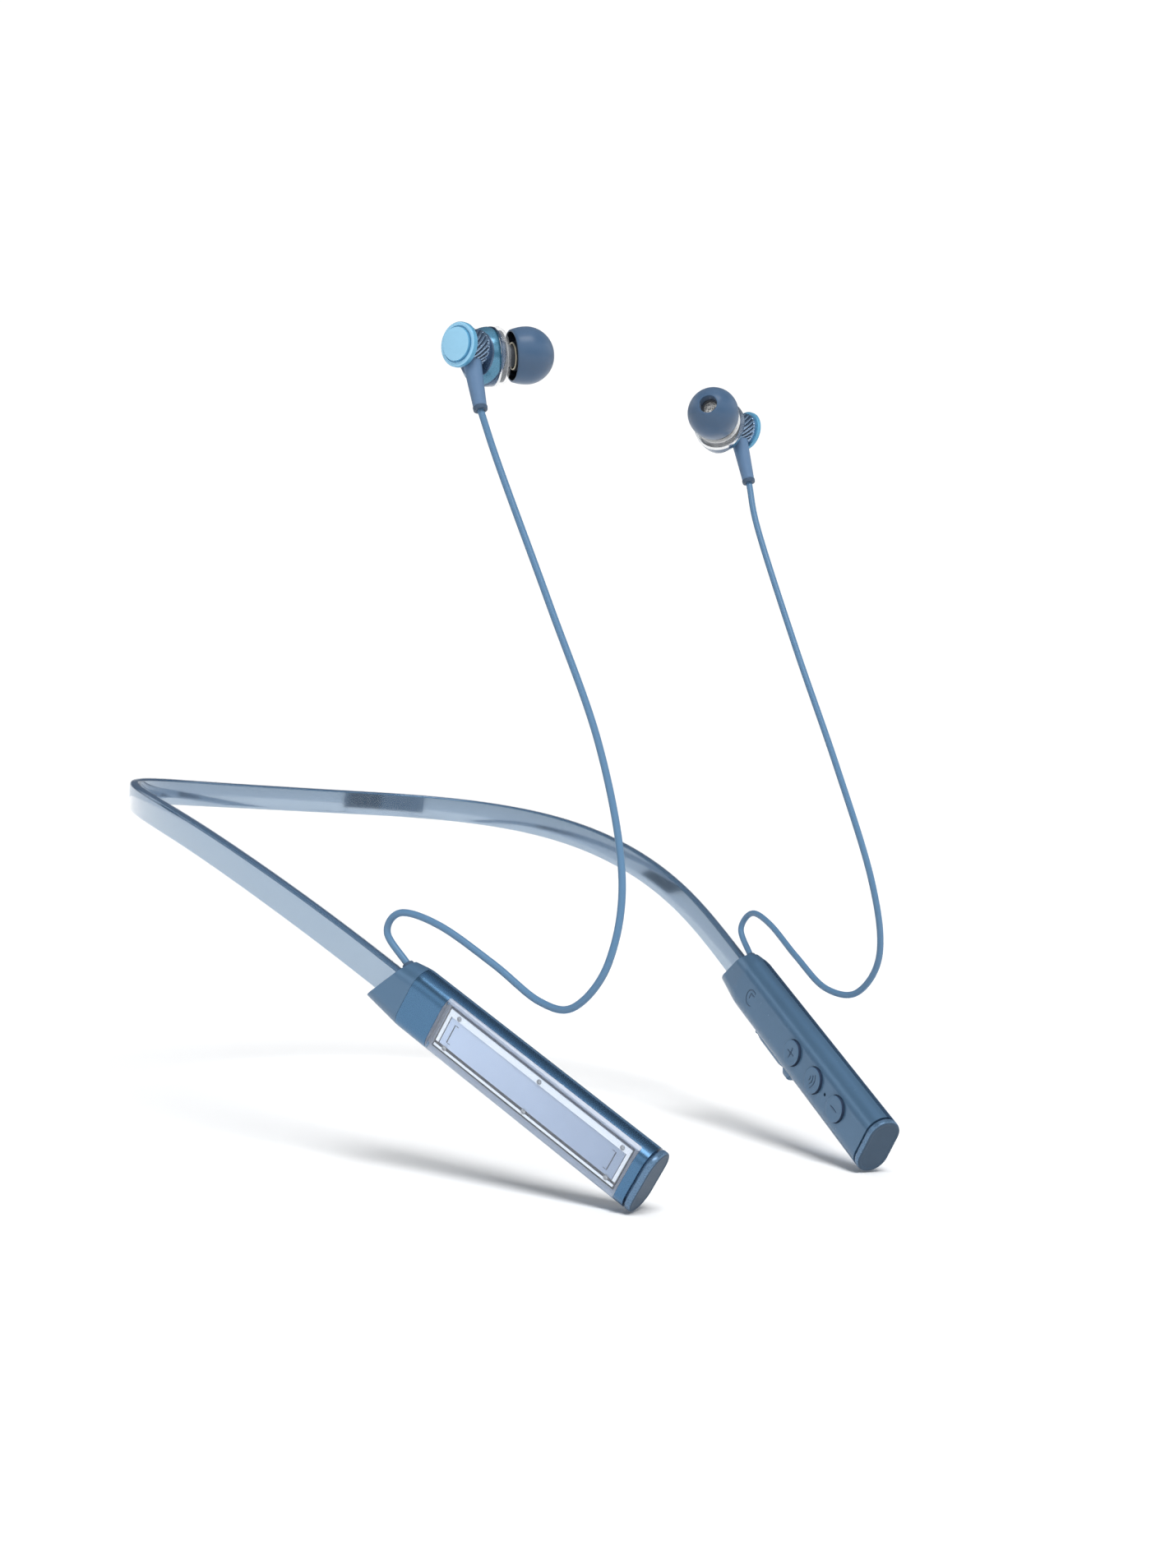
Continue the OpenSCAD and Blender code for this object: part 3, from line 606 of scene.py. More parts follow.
def build_strap():
    """Solid strip in a clear coat, with the steel core and the flat harness inside."""
    cuts = 3
    line = strap_line(cuts)
    start, end = line[FLEX_FROM * cuts][0], line[FLEX_TO * cuts][0]
    whole, inner = len(line), (STEPS + 1) * cuts + 1
    coat = strap_section(STRAP_T, STRAP_H, 0.75)
    fill = strap_section(STRAP_T - 2 * COAT, STRAP_H - 2.2 * COAT, 0.65)
    core = strap_section(INSERT_T, CORE_H, 0.15, CORE_LIFT)
    harness = strap_section(INSERT_T, HARNESS_H, 0.15, HARNESS_LIFT)
    steel, amber = CAD_FINISHES["core_steel"], CAD_FINISHES["harness_amber"]
    # Painted shade: the top face with its roundings and the flat bottom face take the darker blue.
    shaded_faces = (27, *range(7, 20))
    for side in SIDES:
        for name, section, materials, last, node in (
            ("strap_fill_", fill, [STRAP_FILL, STRAP_EDGE_SHADE], whole, "strap_"),
            ("strap_coat_", coat, [STRAP_COAT], whole, "strap_"),
            ("core_run_", core, [steel], inner, "core_"),
            ("harness_run_", harness, [amber], inner, "harness_"),
        ):
            rings = [[point + w * out + h * up for w, h in section] for point, out, up in line[:last]]
            piece = loft(name + side, rings, capped=section is not coat)
            settle(piece, on_side(ROW, side), sharp=60)
            dark = len(materials) - 1
            paint(piece, materials, lambda f: dark if f.index % len(section) in shaded_faces else 0)
            bend_piece(piece, side, "band_back", "arm_" + side, start, end, node + side, node + "back")


# ---------- Pods ----------

def soft_step(x, reach=1.2):
    """x where x is well above 0, 0 where it is well below, with a soft turn between."""
    if x <= -reach:
        return 0.0
    if x >= reach:
        return x
    return (x + reach) ** 2 / (4 * reach)


def pod_point(length, w, z):
    """Point of the pod's skin, drawn in by the neck end's taper. w and z are on the full section."""
    back = soft_step(BOOT_TO - length)
    top = POD_LIFT + POD_H / 2 - TOP_TAPER * back
    bottom = POD_LIFT - POD_H / 2 + BOTTOM_TAPER * back
    share = (z - POD_LIFT) / POD_H + 0.5
    return (length, w * (1 - SIDE_TAPER * back / POD_R), bottom + (top - bottom) * share)


def half_outline(sign, inset=0.0, steps=14):
    """Points from the pod's top over one side to its bottom, as (w, z) on the full section."""
    r = POD_R - inset
    center = POD_H / 2 - POD_R
    angles = [pi / 2 * k / steps for k in range(steps + 1)]
    upper = [(sign * r * sin(a), POD_LIFT + center + r * cos(a)) for a in angles]
    lower = [(sign * r * cos(a), POD_LIFT - center - r * sin(a)) for a in angles]
    return upper + lower


def stadium(inset):
    """Whole outline of the pod's section, drawn in by inset."""
    return half_outline(1, inset) + half_outline(-1, inset)[::-1][1:-1]


def stadium_bar(name, stations):
    """Bar along the pod from (length, inset) stations."""
    return loft(name, [[(x, w, z) for w, z in stadium(inset)] for x, inset in stations])


def neck_plane(z):
    """Length at which the slanted neck end cuts a height."""
    return NECK_FOOT[0] + (z - NECK_FOOT[1]) * tan(NECK_SLANT)


def half_pod(name, sign, start, end):
    """Solid half of the pod; start None runs to the slanted neck end."""
    outline = half_outline(sign)
    stations = []
    if start is None:
        for share in (0.0, 0.04, 0.35, 0.7, 0.85, 1.0):
            stations.append([neck_plane(z) * (1 - share) + (BOOT_TO - 1.2) * share for _, z in outline])
        start = BOOT_TO - 0.8
    x = start
    while x < min(end, BOOT_TO + 1.6):
        stations.append([x] * len(outline))
        x += 0.4
    stations.append([end] * len(outline))
    rings = [[pod_point(s, w, z) for s, (w, z) in zip(row, outline)] for row in stations]
    return loft(name, rings)


def strap_slot():
    w, h = STRAP_T / 2 + GAP, STRAP_H / 2 + GAP
    return box("slot", (-6, -w, -h), (7, w, h))


def exit_hole():
    center = POD.inverted() @ (exit_point * MM)
    axis = POD.to_3x3().inverted() @ exit_out
    return rod("exit", center, axis, GROMMET_R, 1.6)


def port_cutters():
    mouth_box = box("port_mouth", (PORT_X - 4.6, -1.75, -9), (PORT_X + 4.6, 1.75, -4))
    w, low = COVER_W / 2 + 0.1, POD_LIFT - POD_H / 2 - 1
    bed = box("bed", (COVER_FROM - 0.9, -w, low), (COVER_TO + 0.2, w, low + 3))
    carve(bed, stadium_bar("bed_keep", [(0, COVER_DEPTH), (POD_L, COVER_DEPTH)]))
    return [mouth_box, bed]


def button_holes():
    """Cutters for the three buttons and the microphone."""
    holes = [(x, BUTTON_D / 2 + 0.12, 64) for x in BUTTON_X] + [(MIC_X, 0.42, 24)]
    return [rod("hole", (x, -POD_R, POD_LIFT), (0, 1, 0), r, 1.8, steps) for x, r, steps in holes]


def window_cut():
    corner = 0.7
    opening = rounded([
        (WINDOW_FROM, WINDOW_EDGE, corner), (WINDOW_TO, WINDOW_EDGE, corner),
        (WINDOW_TO, 9, 0), (WINDOW_FROM, 9, 0),
    ])
    return loft("window_cut", [[(x, w, z) for x, w in opening] for z in (-12, 12)])


def shells(side):
    """Inner and outer half of a pod, and the boot over the outer half's neck end."""
    left = side == "left"
    inner = half_pod("inner_shell_" + side, -1, None, SHELL_TO)
    cavity = stadium_bar("cavity", [(BOOT_TO + 1, POD_WALL), (POD_L, POD_WALL)])
    extra = [*port_cutters(), *button_holes()] if left else []
    carve(inner, cavity, strap_slot(), exit_hole(), *extra)

    outer = half_pod("outer_shell_" + side, 1, BOOT_TO, SHELL_TO)
    cavity = stadium_bar("cavity", [(0, POD_WALL), (POD_L + 1, POD_WALL)])
    carve(outer, cavity, window_cut(), *(port_cutters() if left else []))

    boot = half_pod("boot_" + side, 1, None, BOOT_TO - GAP)
    carve(boot, strap_slot(), exit_hole())

    for piece, material in ((inner, MATTE_BLUE), (outer, METAL_BLUE), (boot, MATTE_BLUE)):
        set_piece(piece, side, POD, [material], bevel=0.14)


def window(side):
    """Clear lens: a shallow tub with walls all round, open towards the plate."""
    edge = WINDOW_EDGE + GAP
    middle = POD_H / 2 - POD_R
    start_x, end_x = WINDOW_FROM + GAP, WINDOW_TO - GAP
    rings = []
    for x, wall in ((start_x, 0), (end_x, 0), (WINDOW_FROM + 1.1, 1), (WINDOW_TO - 1.1, 1)):
        r = POD_R - wall
        start = asin(edge / r)
        turns = [start + (pi / 2 - start) * k / 14 for k in range(15)]
        half = [(r * sin(a), middle + r * cos(a)) for a in turns]
        outline = half + [(w, -h) for w, h in reversed(half)]
        rings.append([(x, w, POD_LIFT + h) for w, h in outline])
    size = len(rings[0])
    points = [p for ring in rings for p in ring]
    faces = []
    for k in range(size - 1):
        faces.append((k, k + 1, size + k + 1, size + k))
        faces.append((2 * size + k, 3 * size + k, 3 * size + k + 1, 2 * size + k + 1))
    for j in range(4):
        faces.append(tuple(range(j * size, (j + 1) * size)))
    for k in (0, size - 1):
        faces.append((k, size + k, 3 * size + k, 2 * size + k))
    for j in (0, 1):
        faces.append((j * size, (j + 2) * size, (j + 3) * size - 1, (j + 1) * size - 1))
    lens = new_mesh("window_" + side, points, faces)
    shoulder = middle + 2.6

    def zone(face):
        wall = abs(face.normal.x) > 0.5 or face.normal.y < -0.9 and face.center.y < edge + 0.01
        above = face.center.z - POD_LIFT > shoulder
        return 1 if wall or above else 0

    set_piece(lens, side, POD, [WINDOW_CLEAR, WINDOW_EDGE_TINT], zone, bevel=0.08, sharp=50)


def strip(name, path, width, low, high):
    """Raised line on the plane y = low..high along an (x, z) path."""
    rings = []
    for i, (x, z) in enumerate(path):
        behind, ahead = (Vector(p) for p in around(path, i))
        along = (ahead - behind).normalized()
        across = Vector((-along.y, along.x)) * width / 2
        if 0 < i < len(path) - 1:
            here = Vector((x, z))
            corner = (here - behind).angle(ahead - here, 0) / 2
            across = across / max(cos(corner), 0.5)
        rings.append([
            (x + across.x, low, z + across.y), (x + across.x, high, z + across.y),
            (x - across.x, high, z - across.y), (x - across.x, low, z - across.y),
        ])
    return loft(name, rings)


def plate(side):
    """Trim plate: painted face between two clear ledges, with bracket outlines near its ends."""
    start, end = WINDOW_FROM + 1.4, WINDOW_TO - 1.4
    face, ledge, groove = 2.45, LEDGE_Y, 2.15
    lift = POD_LIFT
    profile = [
        (1.9, -4.4), (ledge, -4.4), (ledge, -3.85), (groove, -3.85), (groove, -3.3),
        (face, -3.3), (face, 2.95), (ledge, 3.0), (ledge, 4.4), (1.9, 4.4),
    ]
    sheet = loft("plate_" + side, [[(x, w, z + lift) for w, z in profile] for x in (start, end)])

    def zone(f):
        height = f.center.z - lift
        if -3.86 < height < -3.29 and f.center.y < face:
            return 2
        return 1 if height > 2.96 or height < -3.8 else 0

    paint(sheet, [PLATE_PAINT[side], LEDGE_WHITE, LINE_DARK], zone)
    marks = []

    def mark(obj, material):
        marks.append(paint(obj, [material]))

    for x, turn in ((start + 2.4, 1), (end - 2.8, -1)):
        reach = 0.9 * turn
        bracket = [(x + reach, lift + 1.9), (x, lift + 1.9), (x, lift - 2.3), (x + reach, lift - 2.3)]
        mark(strip("bracket", bracket, 0.18, face - 0.02, face + 0.04), LINE_DARK)
    for x, turn in ((start, 1), (end, -1)):
        low, high = sorted((x, x + 0.75 * turn))
        mark(box("end_ledge", (low, face - 0.3, lift - 3.3), (high, ledge, lift + 3.0)), LEDGE_WHITE)
        low, high = sorted((x + 0.75 * turn, x + 0.95 * turn))
        mark(box("end_line", (low, face - 0.3, lift - 3.3), (high, face + 0.03, lift + 3.0)), LINE_DARK)
    mark(box("side_band", (start, 1.83, lift + 4.45), (end, 2.02, lift + 5.25)), BAND_GREY)
    step_path = [(start, lift + 4.62)]
    for x in (start + 12, start + 27, start + 39):
        step_path += [(x, lift + 4.62), (x + 0.5, lift + 4.5), (x + 3.5, lift + 4.5), (x + 4, lift + 4.62)]
    step_path.append((end, lift + 4.62))
    mark(strip("step_line", step_path, 0.42, 1.9, ledge - 0.07), LINE_DARK)
    join(sheet, *marks)
    settle(sheet, on_side(POD, side), bevel=0.05)
    stand_in(sheet)


def screws(side):
    """Six plate screws, each with a domed head and a hexagonal socket."""
    heads = []
    profile = rounded([(0, -1.4, 0), (0.35, -1.4, 0.1), (0.35, 0.0, 0), (0.55, 0.0, 0.03), (0.55, 0.1, 0.05),
                       (0.3, 0.16, 0.02), (0.26, 0.02, 0), (0, 0.02, 0)], steps=3)
    outward = Matrix.Rotation(-pi / 2, 4, "X")
    for x in SCREW_X:
        for z in (POD_LIFT - SCREW_Z, POD_LIFT + SCREW_Z):
            screw = lathe("screw", profile, steps=24)
            screw.data.transform(Matrix.Translation((x, LEDGE_Y, z)) @ outward)
            heads.append(screw)
    piece = join(*heads)
    piece.name = "plate_screws_" + side
    set_piece(piece, side, POD, [SCREW_STEEL])


def end_cap(side):
    front = [(SHELL_TO - 1.5, POD_WALL + GAP), (POD_L - CAP_L - 0.02, POD_WALL + GAP)]
    lip = POD_L - CAP_L
    front += [(lip, 0.3), (lip + 0.06, 0.14), (lip + 0.18, 0.04), (lip + 0.35, 0.0)]
    for k in range(1, 7):
        a = pi / 2 * k / 6
        front.append((POD_L - 0.55 + 0.55 * sin(a), 0.55 * (1 - cos(a))))
    front += [(POD_L, 0.8), (POD_L - 0.08, 0.95), (POD_L - 0.08, 1.2)]
    cap = stadium_bar("end_cap_" + side, front)
    rim = lambda f: 0 if f.center.x > POD_L - 0.2 and f.normal.x > 0.6 else 1
    set_piece(cap, side, POD, [CAP_SLATE, CAP_RIM], rim, sharp=50)


def grommet(side):
    bore, r = CABLE_R + 0.03, GROMMET_R - 0.02
    profile = rounded([(bore, -2.0, 0), (r, -2.0, 0.1), (r, 0.15, 0.1), (1.12, 0.55, 0.2), (bore, 0.55, 0.1)])
    ring = lathe("grommet_" + side, profile, steps=48)
    set_piece(ring, side, aim(exit_point, exit_out), [GROMMET_RUBBER])


def arc(cx, cz, radius, start, end, steps=14):
    """Arc in the (x, z) plane, in degrees."""
    angles = [radians(start + (end - start) * k / steps) for k in range(steps + 1)]
    return [(cx + radius * cos(a), cz + radius * sin(a)) for a in angles]


def side_mark(side):
    """Ring with an L or an R on the inner face of the neck end."""
    low, high = -POD_R - 0.05, -POD_R + 0.2
    x, z = MARK_X, POD_LIFT
    paths = [arc(x, z, 2.0, 60, 300, 24)]
    if side == "left":
        paths.append([(x + 1.0, z + 1.0), (x - 0.6, z + 1.0), (x - 0.6, z - 0.5)])
    else:
        bowl = arc(x + 0.5, z + 0.45, 0.45, 90, -90, 8)
        paths.append([(x - 0.5, z - 1.0), (x - 0.5, z + 0.9)])
        paths.append([(x - 0.5, z + 0.9), *bowl, (x - 0.5, z)])
        paths.append([(x + 0.1, z), (x + 0.8, z - 1.0)])
    mark = join(*[strip("mark", p, 0.24, low, high) for p in paths])
    mark.name = "side_mark_" + side
    paint(mark, [ICON_BLUE])
    settle(mark, on_side(POD, side))
    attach(mark, "arm_" + side)


def button(name, x, icon):
    """Round button with a soft edge, its flange and stem, and a raised icon."""
    top = 0.72
    r = BUTTON_D / 2
    profile = rounded([
        (0, -4.9, 0), (0.8, -4.9, 0.1), (0.8, -1.95, 0), (3.6, -1.95, 0.1), (3.6, -1.15, 0.1),
        (r, -1.15, 0), (r, top, 0.16), (r - 0.9, top - 0.02, 0.8), (0, top - 0.1, 0),
    ])
    cap = lathe(name, profile, steps=72)
    cap.data.transform(Matrix.Translation((x, -POD_R, POD_LIFT)) @ Matrix.Rotation(pi / 2, 4, "X"))
    # Painted shade: the button's side wall is painted dark, for the shaded wall round the raised cap.
    wall = lambda f: abs(f.normal.y) < 0.5 and f.center.y < 0.3 - POD_R
    paint(cap, [MATTE_BLUE, LINE_DARK], lambda f: 1 if wall(f) else 0)
    face = -POD_R - top + 0.12
    lines = []
    for path in icon:
        moved = [(x + px, POD_LIFT + pz) for px, pz in path]
        lines.append(paint(strip("icon", moved, 0.18, face - 0.14, face + 0.1), [ICON_BLUE]))
    join(cap, *lines)
    settle(cap, POD)
    stand_in(cap)


def controls():
    plus = [[(-1.35, 0), (1.35, 0)], [(0, -1.35), (0, 1.35)]]
    minus = [[(-1.3, 0), (1.3, 0)]]
    wave = [arc(-1.6, 0, r, -42, 42) for r in (0.9, 1.8, 2.7)]
    for name, x, icon in zip(("button_plus", "button_multi", "button_minus"), BUTTON_X, (plus, wave, minus)):
        button(name, x, icon)


def port_cover():
    """Rubber strip over the charging port, with a finger tab at its free end."""
    def proud(x):
        swell = 0.25 + 0.55 * smooth((x - COVER_FROM) / 3) * (1 - smooth((x - 31.0) / 3.0))
        tab = 1.6 * smooth((x - 33.4) / 0.8) * (1 - smooth((x - 36.1) / 0.8))
        return max(swell, tab)

    rings = []
    count = 60
    center = POD_LIFT - POD_H / 2 + POD_R
    for k in range(count + 1):
        x = COVER_FROM + (COVER_TO - COVER_FROM) * k / count
        reach = COVER_W / 2 * (1 - 0.12 * (k == 0 or k == count))
        outer, inner = [], []
        for m in range(13):
            w = -reach + 2 * reach * m / 12
            edge = (1 - abs(w / reach) ** 4) ** 0.5
            r = POD_R + proud(x) * (0.35 + 0.65 * edge)
            outer.append((x, w, center - sqrt(r * r - w * w)))
            q = POD_R - COVER_DEPTH + GAP
            inner.append((x, w, center - sqrt(q * q - w * w)))
        rings.append(outer + inner[::-1])
    flap = loft("port_cover", rings)
    pin = rod("pin", (COVER_FROM, 0, POD_LIFT - POD_H / 2 + COVER_DEPTH), (0, 1, 0), 0.68, 1.7, steps=24)
    set_piece(join(flap, pin), "left", POD, [MATTE_BLUE], bevel=0.08, sharp=50)


def build_pods():
    for side in SIDES:
        shells(side)
        window(side)
        plate(side)
        screws(side)
        end_cap(side)
        grommet(side)
        side_mark(side)
    controls()
    port_cover()


# ---------- Cables ----------

def curve_through(points, cuts):
    """Smooth curve through points, with cuts steps between neighbours."""
    out = []
    ends = [2 * points[0] - points[1], *points, 2 * points[-1] - points[-2]]
    for i in range(1, len(ends) - 2):
        a, b, c, d = ends[i - 1:i + 3]
        for k in range(cuts):
            t = k / cuts
            out.append(0.5 * (2 * b + t * (c - a) + t * t * (2 * a - 5 * b + 4 * c - d)
                              + t ** 3 * (3 * b - a - 3 * c + d)))
    out.append(points[-1])
    return out


def build_cables():
    """Each cable in two lengths: one from its pod, the other up to its earbud."""
    cuts = 16
    line = curve_through([exit_point, *[Vector(p) for p in CABLE_WAY], mouth], cuts)
    middle = 7 * cuts
    low = [exit_point - 1.6 * exit_out] + line[:middle + 1]
    high = line[middle:] + [mouth + 1.5 * (barrel_center - mouth).normalized()]
    below = exit_point + Vector((0, -11, 0))
    for side in SIDES:
        for name, path, near, far, start, end in (
            ("cable_low_", low, "arm_", "cable_", exit_point, below),
            ("cable_high_", high, "cable_", "earbud_", line[-1 - cuts // 2], line[-1]),
        ):
            piece = tube(name + side, path, CABLE_R, steps=20)
            paint(piece, [CABLE_BLUE])
            settle(piece, on_side(ROW, side), sharp=60)
            bend_piece(piece, side, near + side, far + side, start, end, "cable_" + side)


# ---------- Earbuds ----------

def relief(side):
    """Tapered strain relief with a dark collar at the cable's end."""
    reach = relief_l - BARREL_R + 0.5
    profile = rounded([
        (0.8, -0.1, 0.05), (1.5, -0.1, 0.15), (1.6, 0.75, 0.12), (1.42, 0.85, 0), (1.48, 1.0, 0.05),
        (1.85, reach * 0.75, 0.4), (2.05, reach, 0), (0.8, reach, 0),
    ])
    piece = lathe("relief_" + side, profile)
    collar = lambda f: 1 if f.center.z < 0.86 else 0
    set_piece(piece, side, RELIEF, [RELIEF_RUBBER, COLLAR_DARK], collar)


def barrel(side):
    """Barrel with a slanted knurl between two plain rims."""
    low, high = -REAR_L - BARREL_L, -REAR_L
    knurl_low, knurl_high = low + 0.55, high - 0.35
    ridges, depth = 20, 0.36
    slope = 0.24 if side == "left" else -0.24

    def shift(a, z, r):
        if r < BARREL_R - 0.3 or not knurl_low <= z <= knurl_high:
            return 0
        fade = min(1, (z - knurl_low) / 0.25, (knurl_high - z) / 0.25)
        wave = 0.5 - 0.5 * cos(ridges * (a + slope * (z - low)))
        return -depth * fade * wave ** 1.5

    levels = 26
    side_points = [(BARREL_R, low + (high - low) * k / levels) for k in range(levels + 1)]
    profile = side_points + [(BARREL_R - 0.85, high), (BARREL_R - 0.85, low)]
    piece = lathe("barrel_" + side, profile, steps=320, shift=shift)
    # Painted shade: faces deep in the knurl take the near-black.
    groove = lambda f: 1 if BARREL_R - 0.7 < f.center.xy.length < BARREL_R - 0.13 else 0
    set_piece(piece, side, BARREL, [BARREL_STEEL, BARREL_GROOVE_SHADE], groove, sharp=50)


def disc_cap(side):
    base = -REAR_L - BARREL_L
    profile = rounded([
        (0, base + 0.5, 0), (BARREL_R - 0.9, base + 0.5, 0), (BARREL_R - 0.9, base, 0), (DISC_R, base, 0.15),
        (DISC_R, base - 1.2, 0.35), (DISC_R * 0.82, base - 1.2, 0.06), (DISC_R * 0.8, base - 0.95, 0.05),
        (DISC_R * 0.765, base - 0.95, 0.05), (DISC_R * 0.755, base - 1.75, 0.18), (0, base - 1.78, 0),
    ])
    piece = lathe("disc_cap_" + side, profile, steps=96)
    # Painted shade: all but the rearward faces take the darker teal.
    edge = lambda f: 0 if f.normal.z < -0.8 or f.center.xy.length < 0.6 else 1
    set_piece(piece, side, BARREL, [DISC_SKY, DISC_EDGE_SHADE], edge)


def housing(side):
    """Bent shell: its rings turn from the rear axis to the nozzle's."""
    front = Vector((0, 0, 1))
    rear = (NOZZLE.to_3x3().inverted() @ REAR_DIR).normalized()
    across = Vector((0, 1, 0)).cross(rear).normalized()
    stations = [
        (-REAR_L + 0.55, 2.9), (-REAR_L, 3.0), (-REAR_L, 4.7), (-REAR_L + 0.06, 4.9), (-REAR_L + 0.16, 5.0),
        (-REAR_L + 0.24, 5.06), (-1.0, 6.22), (-0.86, 6.24), (-0.8, 6.14), (-0.7, 6.14), (-0.62, 6.3),
        (-0.45, 6.38), (-0.1, 6.4), (0.3, 6.4), (0.8, 6.4), (1.3, 6.38), (1.8, 6.32), (FRONT_L - 0.12, 6.26),
        (FRONT_L, 6.1), (FRONT_L, 5.5), (FRONT_L - 0.6, 5.4),
    ]
    steps = 80
    rings = []
    for s, r in stations:
        direction = rear.lerp(front, smooth((s + 0.5) / 2.4)).normalized()
        x = (across - direction * across.dot(direction)).normalized()
        rings.append(circle(rear * min(s, 0) + front * max(s, 0), r, x, direction.cross(x), steps))
    piece = loft("housing_" + side, rings)
    # The chamfer ring takes the lighter teal: part its own colour, part painted highlight.
    band, lining = 5, 15
    zone = lambda f: 2 if f.index // steps >= lining else int(f.index // steps == band)
    set_piece(piece, side, NOZZLE, [HOUSING_BLUE, HOUSING_BAND_AND_HIGHLIGHT, RING_LINING], zone, sharp=35)


def front_ring(side):
    """Clear front ring round a white face with a groove, the nozzle, and a gold seat ring; the groove and the
    nozzle are painted dark grey as painted shade.
    """
    r = HOUSING_R
    base = FRONT_L
    clear = rounded([
        (r - 0.85, base, 0), (r - 0.15, base, 0.1), (r - 0.05, base + 0.9, 0.4),
        (r - 0.9, base + 2.1, 0.5), (r - 1.6, base + 2.1, 0.2), (r - 1.6, base + 1.5, 0),
        (r - 0.85, base + 1.5, 0),
    ])
    ring = lathe("front_ring_" + side, clear, steps=96)
    paint(ring, [RING_CLEAR])
    top = base + 1.4
    face = rounded([
        (NOZZLE_R - 0.6, base - 0.2, 0), (r - 0.9, base - 0.2, 0), (r - 0.9, top, 0.12), (4.65, top, 0),
        (4.6, top - 0.3, 0), (4.2, top - 0.3, 0), (4.15, top + 0.1, 0.05), (NOZZLE_R + 0.2, top + 0.25, 0.05),
        (NOZZLE_R, top + 0.6, 0.1), (NOZZLE_R, NOZZLE_TO - 2.2, 0), (NOZZLE_R + 0.15, NOZZLE_TO - 1.4, 0.1),
        (NOZZLE_R + 0.1, NOZZLE_TO, 0.1), (NOZZLE_BORE, NOZZLE_TO, 0.1), (NOZZLE_BORE, base + 0.4, 0),
    ])
    inner = lathe("base", face, steps=72)

    # Painted shade: groove faces and the nozzle tube take the dark grey.
    def in_shade(c):
        return c.z < top - 0.1 and c.xy.length > 4 or c.z > top + 0.4

    paint(inner, [RING_SHADE, RING_WHITE], lambda f: 0 if in_shade(f.center) else 1)
    seat = circle(Vector((0, 0, TIP_FROM + 0.3)), 2.8, Vector((1, 0, 0)), Vector((0, 1, 0)), 64)
    gold = tube("gold", seat, 0.2, steps=12, closed=True)
    paint(gold, [RING_GOLD])
    join(ring, inner, gold)
    settle(ring, on_side(NOZZLE, side))
    stand_in(ring)


def nozzle_mesh(side):
    profile = [(0, NOZZLE_TO - 0.5), (NOZZLE_BORE - GAP, NOZZLE_TO - 0.5),
               (NOZZLE_BORE - GAP, NOZZLE_TO - 0.25), (0, NOZZLE_TO - 0.1)]
    piece = lathe("nozzle_mesh_" + side, profile, steps=48)
    set_piece(piece, side, NOZZLE, [MESH_STEEL])


def ear_tip(side):
    """Silicone tip: dome and open skirt, with the sleeve that grips the nozzle."""
    r, wall = TIP_R, TIP_WALL
    hole = 2.15
    sleeve = 3.15
    crown = TIP_FROM + SKIRT_L
    profile = [(hole, NOZZLE_TO + 0.2), (NOZZLE_R + 0.2, NOZZLE_TO + 0.1), (NOZZLE_R + 0.2, TIP_FROM + 0.5),
               (sleeve - 0.1, TIP_FROM + 0.4), (sleeve, TIP_FROM + 0.6)]
    inner = r - wall
    start = asin(sleeve / inner)
    profile.append((sleeve, crown + inner * cos(start) - 0.4))
    for k in range(17):
        a = start + 0.06 + (pi / 2 - start - 0.06) * k / 16
        profile.append((inner * sin(a), crown + inner * cos(a)))
    narrow = lambda z: 0.6 * ((crown - z) / SKIRT_L) ** 2
    for z in (TIP_FROM + 2.4, TIP_FROM + 1.4, TIP_FROM + 0.6, TIP_FROM + 0.1):
        profile.append((inner - narrow(z), z))
    profile += [(inner - 0.48, TIP_FROM - 0.02), (r - 0.72, TIP_FROM - 0.02)]
    for z in (TIP_FROM + 0.12, TIP_FROM + 0.6, TIP_FROM + 1.2, TIP_FROM + 1.8, TIP_FROM + 2.6):
        profile.append((r - narrow(z), z))
    stop = asin((hole + 0.25) / r)
    for k in range(25):
        a = pi / 2 + (stop - pi / 2) * k / 24
        profile.append((r * sin(a), crown + r * cos(a)))
    profile.append((hole + 0.07, crown + r * cos(stop) - 0.02))
    profile.append((hole, crown + r * cos(stop) - 0.2))
    piece = lathe("ear_tip_" + side, profile, steps=96)
    lowest = crown + r * cos(stop) - 2.2

    def inside(c):
        out = c.xy.length
        if c.z < crown:
            return out < r - 0.3 - narrow(c.z)
        return hypot(out, c.z - crown) < r - 0.25 and (out > hole + 0.3 or c.z < lowest)

    # Painted shade: the inner faces of the tip are painted near-black.
    zone = lambda f: 1 if inside(f.center) else 0
    set_piece(piece, side, NOZZLE, [TIP_SILICONE, TIP_INSIDE_SHADE], zone, sharp=50)


def build_earbuds():
    for side in SIDES:
        for make in (relief, barrel, disc_cap, housing, front_ring, nozzle_mesh, ear_tip):
            make(side)


# ---------- Stage ----------

def panel(name, width, height, material, level=0.0):
    """Flat part of the stage, centred on its own origin."""
    w, h = width / 2, height / 2
    mesh = bpy.data.meshes.new(name)
    mesh.from_pydata([(-w, -h, level), (w, -h, level), (w, h, level), (-w, h, level)], [], [(0, 1, 2, 3)])
    mesh.materials.append(material)
    obj = add_object(name, mesh)
    return obj


def turn_to(obj, direction):
    """Turns obj so that its local Z points along a direction."""
    obj.rotation_mode = "QUATERNION"
    obj.rotation_quaternion = direction.to_track_quat("Z", "Y")


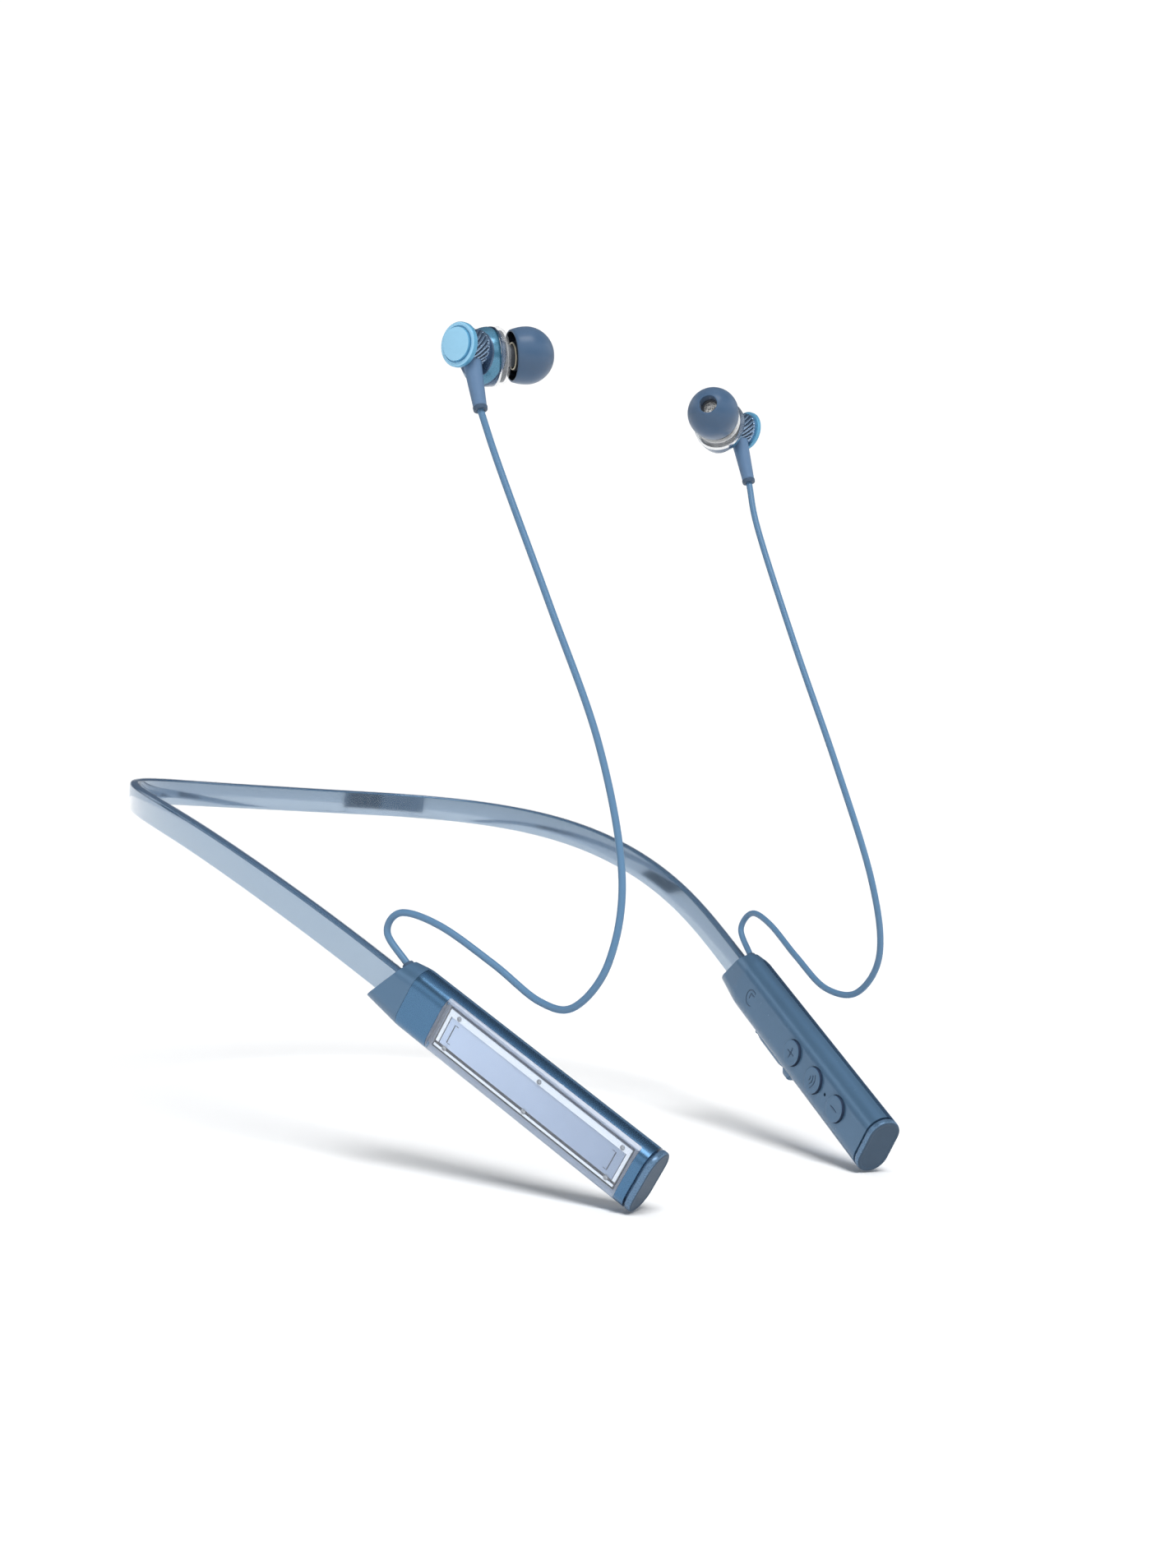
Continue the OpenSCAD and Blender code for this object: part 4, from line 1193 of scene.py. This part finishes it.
def card(name, center, size, strength, colour=(1, 1, 1)):
    """Glowing panel that only shows in reflections, turned towards the object."""
    material = bpy.data.materials.new(name)
    material.use_nodes = True
    tree = material.node_tree
    glow = tree_node(tree, "Emission", Color=[*colour, 1], Strength=strength)
    feed(tree, tree.nodes["Material Output"], Surface=glow.outputs[0])
    obj = panel(name, *size, material)
    obj.location = center
    turn_to(obj, (cad_low + cad_high) / 2 - Vector(center))
    for ray in ("camera", "diffuse", "shadow", "transmission"):
        setattr(obj, "visible_" + ray, False)


def soft_range(tree, value, low, high):
    """0 below low and 1 above high, with a soft step between."""
    node = tree_node(tree, "MapRange", Value=value, From_Min=low, From_Max=high)
    node.interpolation_type = "SMOOTHSTEP"
    return node.outputs["Result"]


def studio_world():
    """White to the camera, dim and even for soft light, and a banded sky with a dark side for reflections."""
    world = bpy.data.worlds.new("studio")
    bpy.context.scene.world = world
    world.use_nodes = True
    tree = world.node_tree
    even = tree.nodes["Background"]
    feed(tree, even, Color=(0.96, 0.98, 1, 1), Strength=0.36)
    white = tree_node(tree, "Background", Color=(1, 1, 1, 1), Strength=1.05).outputs[0]
    where = tree_node(tree, "TexCoord").outputs["Generated"]
    height = tree_node(tree, "SeparateXYZ", {0: where}).outputs["Z"]
    ramp = tree_node(tree, "ValToRGB", {0: height})
    stops = ramp.color_ramp.elements
    stops[0].color = (0.75, 0.8, 0.86, 1)
    stops[1].color = (0.45, 0.52, 0.6, 1)
    for place_at, bright in ((0.25, 0.6), (0.38, 1.2), (0.55, 1.1), (0.68, 0.14), (0.9, 0.16)):
        stops.new(place_at).color = (0.92 * bright, 0.97 * bright, bright, 1)
    aside = {0: where, 1: (0.72, 0.69, 0.0)}
    aside = tree_node(tree, "VectorMath", aside, operation="DOT_PRODUCT").outputs["Value"]
    share = {0: soft_range(tree, aside, 0.45, 0.75), 1: soft_range(tree, height, 0.06, 0.2)}
    share = tree_node(tree, "Math", share, operation="MULTIPLY").outputs[0]
    shades = {0: share, 6: ramp.outputs["Color"], 7: (0.1, 0.13, 0.18, 1)}
    shade = tree_node(tree, "Mix", shades, data_type="RGBA").outputs[2]
    sky = tree_node(tree, "Background", Color=shade, Strength=1.0).outputs[0]
    ray = tree_node(tree, "LightPath").outputs
    lit = tree_node(tree, "MixShader", {0: ray["Is Glossy Ray"], 1: even.outputs[0], 2: sky}).outputs[0]
    straight = {0: ray["Is Camera Ray"], 1: ray["Is Transmission Ray"]}
    straight = tree_node(tree, "Math", straight, operation="MAXIMUM").outputs[0]
    seen = tree_node(tree, "MixShader", {0: straight, 1: lit, 2: white}).outputs[0]
    feed(tree, tree.nodes["World Output"], Surface=seen)


def build_stage():
    floor_size, card_distance, box_distance = 120.0, 1.4, 1.6
    white = moulded("floor_white", (0.96, 0.96, 0.96), 0.8, grain=300, bump=0.0, mottle=0.005,
                    Specular_IOR_Level=0.0)
    panel("floor", floor_size, floor_size, white, cad_low.z - 0.0002)
    studio_world()

    sun = bpy.data.lights.new("key", "SUN")
    sun.energy = 3.0
    sun.angle = radians(26)
    key = add_object("key", sun)
    key.visible_glossy = False
    toward = Vector((-0.35, -0.6, 1.0)).normalized()
    turn_to(key, toward)

    for turn, width, height, glow in ((-91, 0.42, 0.0, 0.1), (-110, 0.56, 0.0, 0.26), (122, 0.26, 0.35, 0.1)):
        a = radians(turn)
        center = (card_distance * cos(a), card_distance * sin(a), height)
        card("dark_card_%d" % (turn % 360), center, (width, 0.7), glow, (0.55, 0.75, 1.0))
    card("softbox", box_distance * toward, (0.8, 0.5), 5.0)


def build_camera():
    """Camera at the picture's viewing angle; the image is 1400 by 1908."""
    right = Vector((0.70038047, -0.71191118, 0.05147489))
    up = Vector((-0.0520882, 0.02094664, 0.99842279))
    position = Vector((-0.29974, -0.41691, -0.00306))
    lens = bpy.data.cameras.new("camera")
    lens.sensor_fit = "VERTICAL"
    lens.sensor_height = 36
    lens.lens = 41.41
    lens.clip_start = 0.01
    lens.clip_end = 200
    camera = add_object("camera", lens)
    basis = Matrix((right, up, right.cross(up))).transposed().to_4x4()
    camera.matrix_world = Matrix.Translation(position) @ basis
    bpy.context.scene.camera = camera


build_strap()
build_pods()
build_cables()
build_earbuds()
build_stage()
build_camera()
bpy.context.scene.view_settings.view_transform = "Standard"
